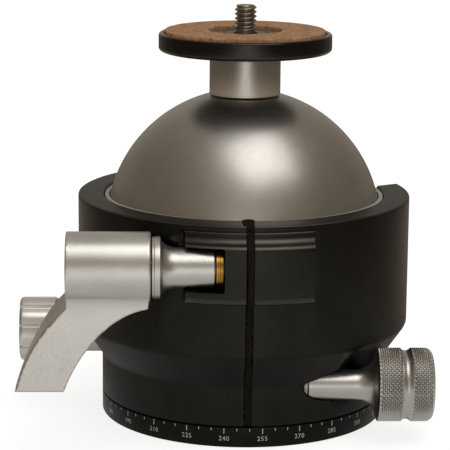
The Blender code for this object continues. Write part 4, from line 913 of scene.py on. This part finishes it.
def base_screw_place(number):
    """Middle of one of the base's three screws, which are counted from 1."""
    angle = 2 * math.pi * (number - 1) / 3
    return BASE_SCREW_CIRCLE * math.cos(angle), BASE_SCREW_CIRCLE * math.sin(angle)


def pan_base():
    """Base ring with three holes for its screws."""
    bore_r, washer_low = 7.3, 4.9
    profile = soften([
        (bore_r, BASE_HUB_TOP), (BASE_HUB_R, BASE_HUB_TOP, 0.2), (BASE_HUB_R, RING_TOP),
        (RING_R, RING_TOP, 0.2), (RING_R, washer_low), (SEAM_R, washer_low), (SEAM_R, SEAM_LOW),
        (WAIST_R, SEAM_LOW, 0.25), (WAIST_R, 0.0, 0.45), (bore_r, 0.0, 0.3)], steps=4)
    made = lathe("base_fine", profile, 288)
    shank_r, head_r, seat, top, low = 1.8, 3.0, 3.3, BASE_HUB_TOP + 1, -1
    hole = [(0, top), (shank_r, top), (shank_r, seat), (head_r, seat), (head_r, low), (0, low)]
    for number in (1, 2, 3):
        cut(made, lathe("screw_hole", hole, 48, "Z", base_screw_place(number), closed=False))
    shade(made)
    piece(made, "base", "scale_black", "pan_base")


def base_screw(number):
    centre = base_screw_place(number)
    shank_r, head_r, top, under, low = 1.5, 2.7, 13.2, 3.0, 0.5
    profile = soften([(0, top), (shank_r, top, 0.2), (shank_r, under), (head_r, under, 0.1),
                      (head_r, low, 0.25), (0, low)], closed=False)
    made = lathe(f"base_screw_fine_{number}", profile, 48, "Z", centre, closed=False)
    cut(made, hexagon("socket", 2.5, -0.2, 2.0, "Z", centre))
    shade(made)
    piece(made, "base", "dark_steel", f"base_screw_{number}")


def wrap(thing, angle, z):
    """Lays a flat drawing in the XY plane, in millimetres, round the base's wall at an angle."""
    for vertex in thing.data.vertices:
        x, y, depth = vertex.co
        turn = angle + x / WAIST_R
        reach = (WAIST_R + (MARK_PROUD if depth > 0 else -MARK_SUNK)) * MM
        vertex.co = (reach * math.sin(turn), -reach * math.cos(turn), (z + y) * MM)
    return thing


def number_mesh(text):
    """A plain number as a thin solid, centred, in millimetres."""
    letters = bpy.data.curves.new("number", "FONT")
    letters.body = text
    letters.size = 1.85
    letters.align_x = "CENTER"
    letters.extrude = MARK_PROUD
    letters.space_character = 1.12
    letters.resolution_u = 3
    thing = put("number", letters)
    mesh = evaluated(thing)
    bpy.data.objects.remove(thing, do_unlink=True)
    return put("number", mesh)


def tick_mesh(low, high, width=0.22):
    """A tick as a thin solid, in millimetres."""
    side = width / 2
    points = [(x, y, z) for z in (-MARK_PROUD, MARK_PROUD)
              for x, y in ((-side, low), (side, low), (side, high), (-side, high))]
    faces = [(0, 1, 2, 3), (4, 5, 6, 7)] + [(i, (i + 1) % 4, 4 + (i + 1) % 4, 4 + i) for i in range(4)]
    mesh = bpy.data.meshes.new("tick")
    mesh.from_pydata(points, [], faces)
    return put("tick", mesh)


def degree_scale():
    """Ticks every five degrees and plain numbers every fifteen, round the base."""
    parts = []
    zero = math.radians(-9.05 - 240)
    tick_top, long_tick, short_tick, number_low = 5.5, 4.0, 4.8, 2.0
    for degrees in range(0, 360, 5):
        angle = zero + math.radians(degrees)
        numbered = degrees % 15 == 0
        parts.append(wrap(tick_mesh(long_tick if numbered else short_tick, tick_top), angle, 0))
        if numbered:
            parts.append(wrap(number_mesh(str(degrees)), angle, number_low))
    whole = bmesh.new()
    for part in parts:
        whole.from_mesh(part.data)
        bpy.data.objects.remove(part, do_unlink=True)
    bmesh.ops.recalc_face_normals(whole, faces=whole.faces)
    mesh = bpy.data.meshes.new("degree_scale")
    whole.to_mesh(mesh)
    whole.free()
    piece(put("degree_scale", mesh), "base", "scale_black", finish="scale_paint")


def slit_seal():
    """Foam strip with ragged edges that stands a little proud and swells over the rim."""
    crown, cove, cove_z = FACE_Y + OVOLO_R, 2.2, 62.3
    path = [(-41.3, RIM_Z + 0.1), (-42.2, RIM_Z + 0.5), (-44.6, RIM_Z + 0.2), (-COLLAR_R + 0.7, RIM_Z + 0.1),
            (-COLLAR_R, RIM_Z - RIM_ROUND), (-COLLAR_R, LEDGE_Z), (-49.0, LEDGE_Z), (-49.3, cove_z)]
    path += arc((crown, cove_z), cove, 0, -90, 4)[1:] + arc((crown, OVOLO_Z), OVOLO_R, 90, 180, 4)[1:]
    path += arc((FACE_Y + BOSS_ROUND, BOSS_FOOT_Z + BOSS_ROUND), BOSS_ROUND, 180, 270, 4)
    path += [(-COLLAR_R, BOSS_FOOT_Z), (-COLLAR_R, SHOULDER_Z), (-WAIST_R, waist_round_z()), (-WAIST_R, 6.4)]
    fine = []
    for (y0, z0), (y1, z1) in zip(path, path[1:]):
        size = math.hypot(y1 - y0, z1 - z0)
        count = max(1, round(size / 0.3))
        out = ((z1 - z0) / size, -(y1 - y0) / size)
        fine += [(y0 + (y1 - y0) * k / count, z0 + (z1 - z0) * k / count, *out) for k in range(count)]

    # Height, then half the width to the left and to the right
    widths = ((6, 0.95, 1.05), (42, 0.95, 1.05), (45, 0.75, 1.22), (58.5, 0.75, 1.22), (60.5, 1.4, 1.3),
              (62.6, 1.4, 1.3), (63.6, 1.1, 1.15), (64.6, 2.1, 1.25), (66, 2.2, 1.25))
    levels, *sides = zip(*widths)
    random.seed(7)
    waves = [(random.uniform(0, 6.28), random.uniform(0.6, 4.5), random.uniform(0.02, 0.06))
             for _ in range(12)]
    swell, sunk, rough, thick = 0.42, 0.22, 0.04, 2.2
    rings = []
    for y, z, out_y, out_z in fine:
        left, right = (
            np.interp(z, levels, side)
            + sum(size * math.sin(rate * (z - y) + shift) for shift, rate, size in sway)
            for side, sway in zip(sides, (waves[:6], waves[6:])))
        row = []
        for s in np.linspace(-1, 1, 11):
            rise = swell * (1 - s * s) ** 0.5 - sunk + random.uniform(-rough, rough)
            row.append((s * (left if s < 0 else right), y + out_y * rise, z + out_z * rise))
        row += [(x, y - out_y * thick, z - out_z * thick) for x in (0.9, -0.9)]
        rings.append(row)
    piece(loft("seal_fine", rings, 50), "housing", "foam", "slit_seal")


for make in (clamp_collar, ball_liner, ball, neck, camera_platform, cork_pad, screw_ring, camera_screw,
             clamp_lever, clamp_sleeve, clamp_screw, thrust_washer, friction_knob, friction_sleeve,
             pan_lock_sleeve, pan_lock_knob, pan_base, degree_scale, slit_seal):
    make()
for number in (1, 2, 3):
    base_screw(number)


def floor():
    """A pale floor: white to the camera apart from a soft shadow, and in reflections bright only in front."""
    half = 6
    corners = [(-half, -half, 0), (half, -half, 0), (half, half, 0), (-half, half, 0)]
    mesh = bpy.data.meshes.new("floor")
    mesh.from_pydata(corners, [], [(0, 1, 2, 3)])
    made = put("floor", mesh)
    material = bpy.data.materials.new("floor_white")
    mesh.materials.append(material)
    nodes = Nodes(material, empty=True)
    path = nodes.add("LightPath").outputs
    split = nodes.split(nodes.place)

    # The strip is broad in front and narrows towards the part
    aside = nodes.math("ABSOLUTE", split["X"])
    width = nodes.math("MAXIMUM", nodes.remap(split["Y"], 0.37, 0.05, -2.0, 0.0), 0.13)
    strip = nodes.strip(nodes.math("MULTIPLY", nodes.math("DIVIDE", aside, width), 0.25))
    ahead = nodes.remap(split["Y"], start=0.05, end=-0.03, interpolation_type="SMOOTHSTEP")
    front = nodes.math("MULTIPLY", strip, ahead)

    # How bright the strip and the rest of the floor are, by the distance from the part
    away = nodes.length(nodes.place)
    bright = nodes.remap(away, 0.42, 1.0, 0.05, 0.32)
    near, far = nodes.remap(away, 0.18, 0.44, 0.06, 0.30), nodes.remap(away, 0.44, 0.14, 0.30, 0.60)
    dim = nodes.math("MINIMUM", near, far)
    level = nodes.remap(front, dim, bright, 0.0, 1.0)
    tint = nodes.ramp(front, (0.0, (1.0, 0.86, 0.70)), (0.6, (1.0, 0.98, 0.95)))

    matt = nodes.first("BsdfDiffuse", (0.80, 0.80, 0.79, 1))
    shown = nodes.add("Emission", {"Strength": 0.80}).outputs[0]
    shaded = nodes.first("BsdfDiffuse", (0.34, 0.34, 0.34, 1))
    white = nodes.first("AddShader", shown, shaded)
    gleam = nodes.first("Emission", tint, level)
    other = nodes.first("MixShader", path["Is Glossy Ray"], matt, gleam)
    surface = nodes.first("MixShader", path["Is Camera Ray"], other, white)
    nodes.add("OutputMaterial", {"Surface": surface})


def world():
    """White to the camera, a soft grey light, and to metal a dim brown room with a pale strip in front."""
    made = bpy.data.worlds.new("studio")
    nodes = Nodes(made, "Generated", empty=True)
    path = nodes.add("LightPath").outputs
    split = nodes.split(nodes.place)
    aside = nodes.math("ABSOLUTE", split["X"])
    dim = nodes.ramp(aside, (0.15, (0.36, 0.335, 0.295)), (0.50, (0.22, 0.19, 0.15)),
                     (0.90, (0.145, 0.12, 0.09)))
    below = nodes.remap(split["Z"], start=0.25, end=0.20)
    ahead = nodes.math("LESS_THAN", split["Y"], 0.0)
    strip = nodes.strip(nodes.math("DIVIDE", aside, 0.64))
    front = nodes.math("MULTIPLY", strip, nodes.math("MULTIPLY", below, ahead))

    room = nodes.first("Background", dim)
    pale, soft, seen = (nodes.first("Background", (*colour, 1))
                        for colour in ((1.0, 0.97, 0.93), (0.62, 0.61, 0.58), (1, 1, 1)))
    mirrored = nodes.first("MixShader", front, room, pale)
    either = nodes.math("MAXIMUM", path["Is Glossy Ray"], path["Is Transmission Ray"])
    inner = nodes.first("MixShader", either, soft, mirrored)
    outer = nodes.first("MixShader", path["Is Camera Ray"], inner, seen)
    nodes.add("OutputWorld", {"Surface": outer})
    bpy.context.scene.world = made


def lamp(name, direction, distance, size, power):
    """A square soft lamp that faces the object's middle; distance and size in metres."""
    data = bpy.data.lights.new(name, "AREA")
    data.shape = "SQUARE"
    data.size = size
    data.energy = power
    made = put(name, data)
    middle = Vector((0, 0, 0.06))
    made.location = middle + Vector(direction).normalized() * distance
    made.rotation_euler = (middle - made.location).to_track_quat("-Z", "Y").to_euler()


def camera():
    """Camera fitted to the circles of the base, rim, platform and cork."""
    azimuth, elevation, roll = (math.radians(a) for a in (-1.78, 12.19, 0.49))
    distance, aside, height = 616, -5.42, 54.75
    back = Vector((math.sin(azimuth) * math.cos(elevation), -math.cos(azimuth) * math.cos(elevation),
                   math.sin(elevation)))
    side = Vector((math.cos(azimuth), math.sin(azimuth), 0))
    top = back.cross(side)
    aim = Vector((aside * math.cos(azimuth), aside * math.sin(azimuth), height)) * MM
    right = side * math.cos(roll) + top * math.sin(roll)
    up = top * math.cos(roll) - side * math.sin(roll)
    data = bpy.data.cameras.new("camera")
    data.sensor_width = 36
    data.lens = 168
    data.clip_start = 0.01
    made = put("camera", data)
    turn = Matrix((right, up, back)).transposed().to_4x4()
    made.matrix_world = Matrix.Translation(aim + back * distance * MM) @ turn
    bpy.context.scene.camera = made


floor()
world()
lamp("key", (0.193, -0.337, 0.920), distance=1.6, size=1.2, power=6.8)
camera()
bpy.context.scene.view_settings.view_transform = "Standard"
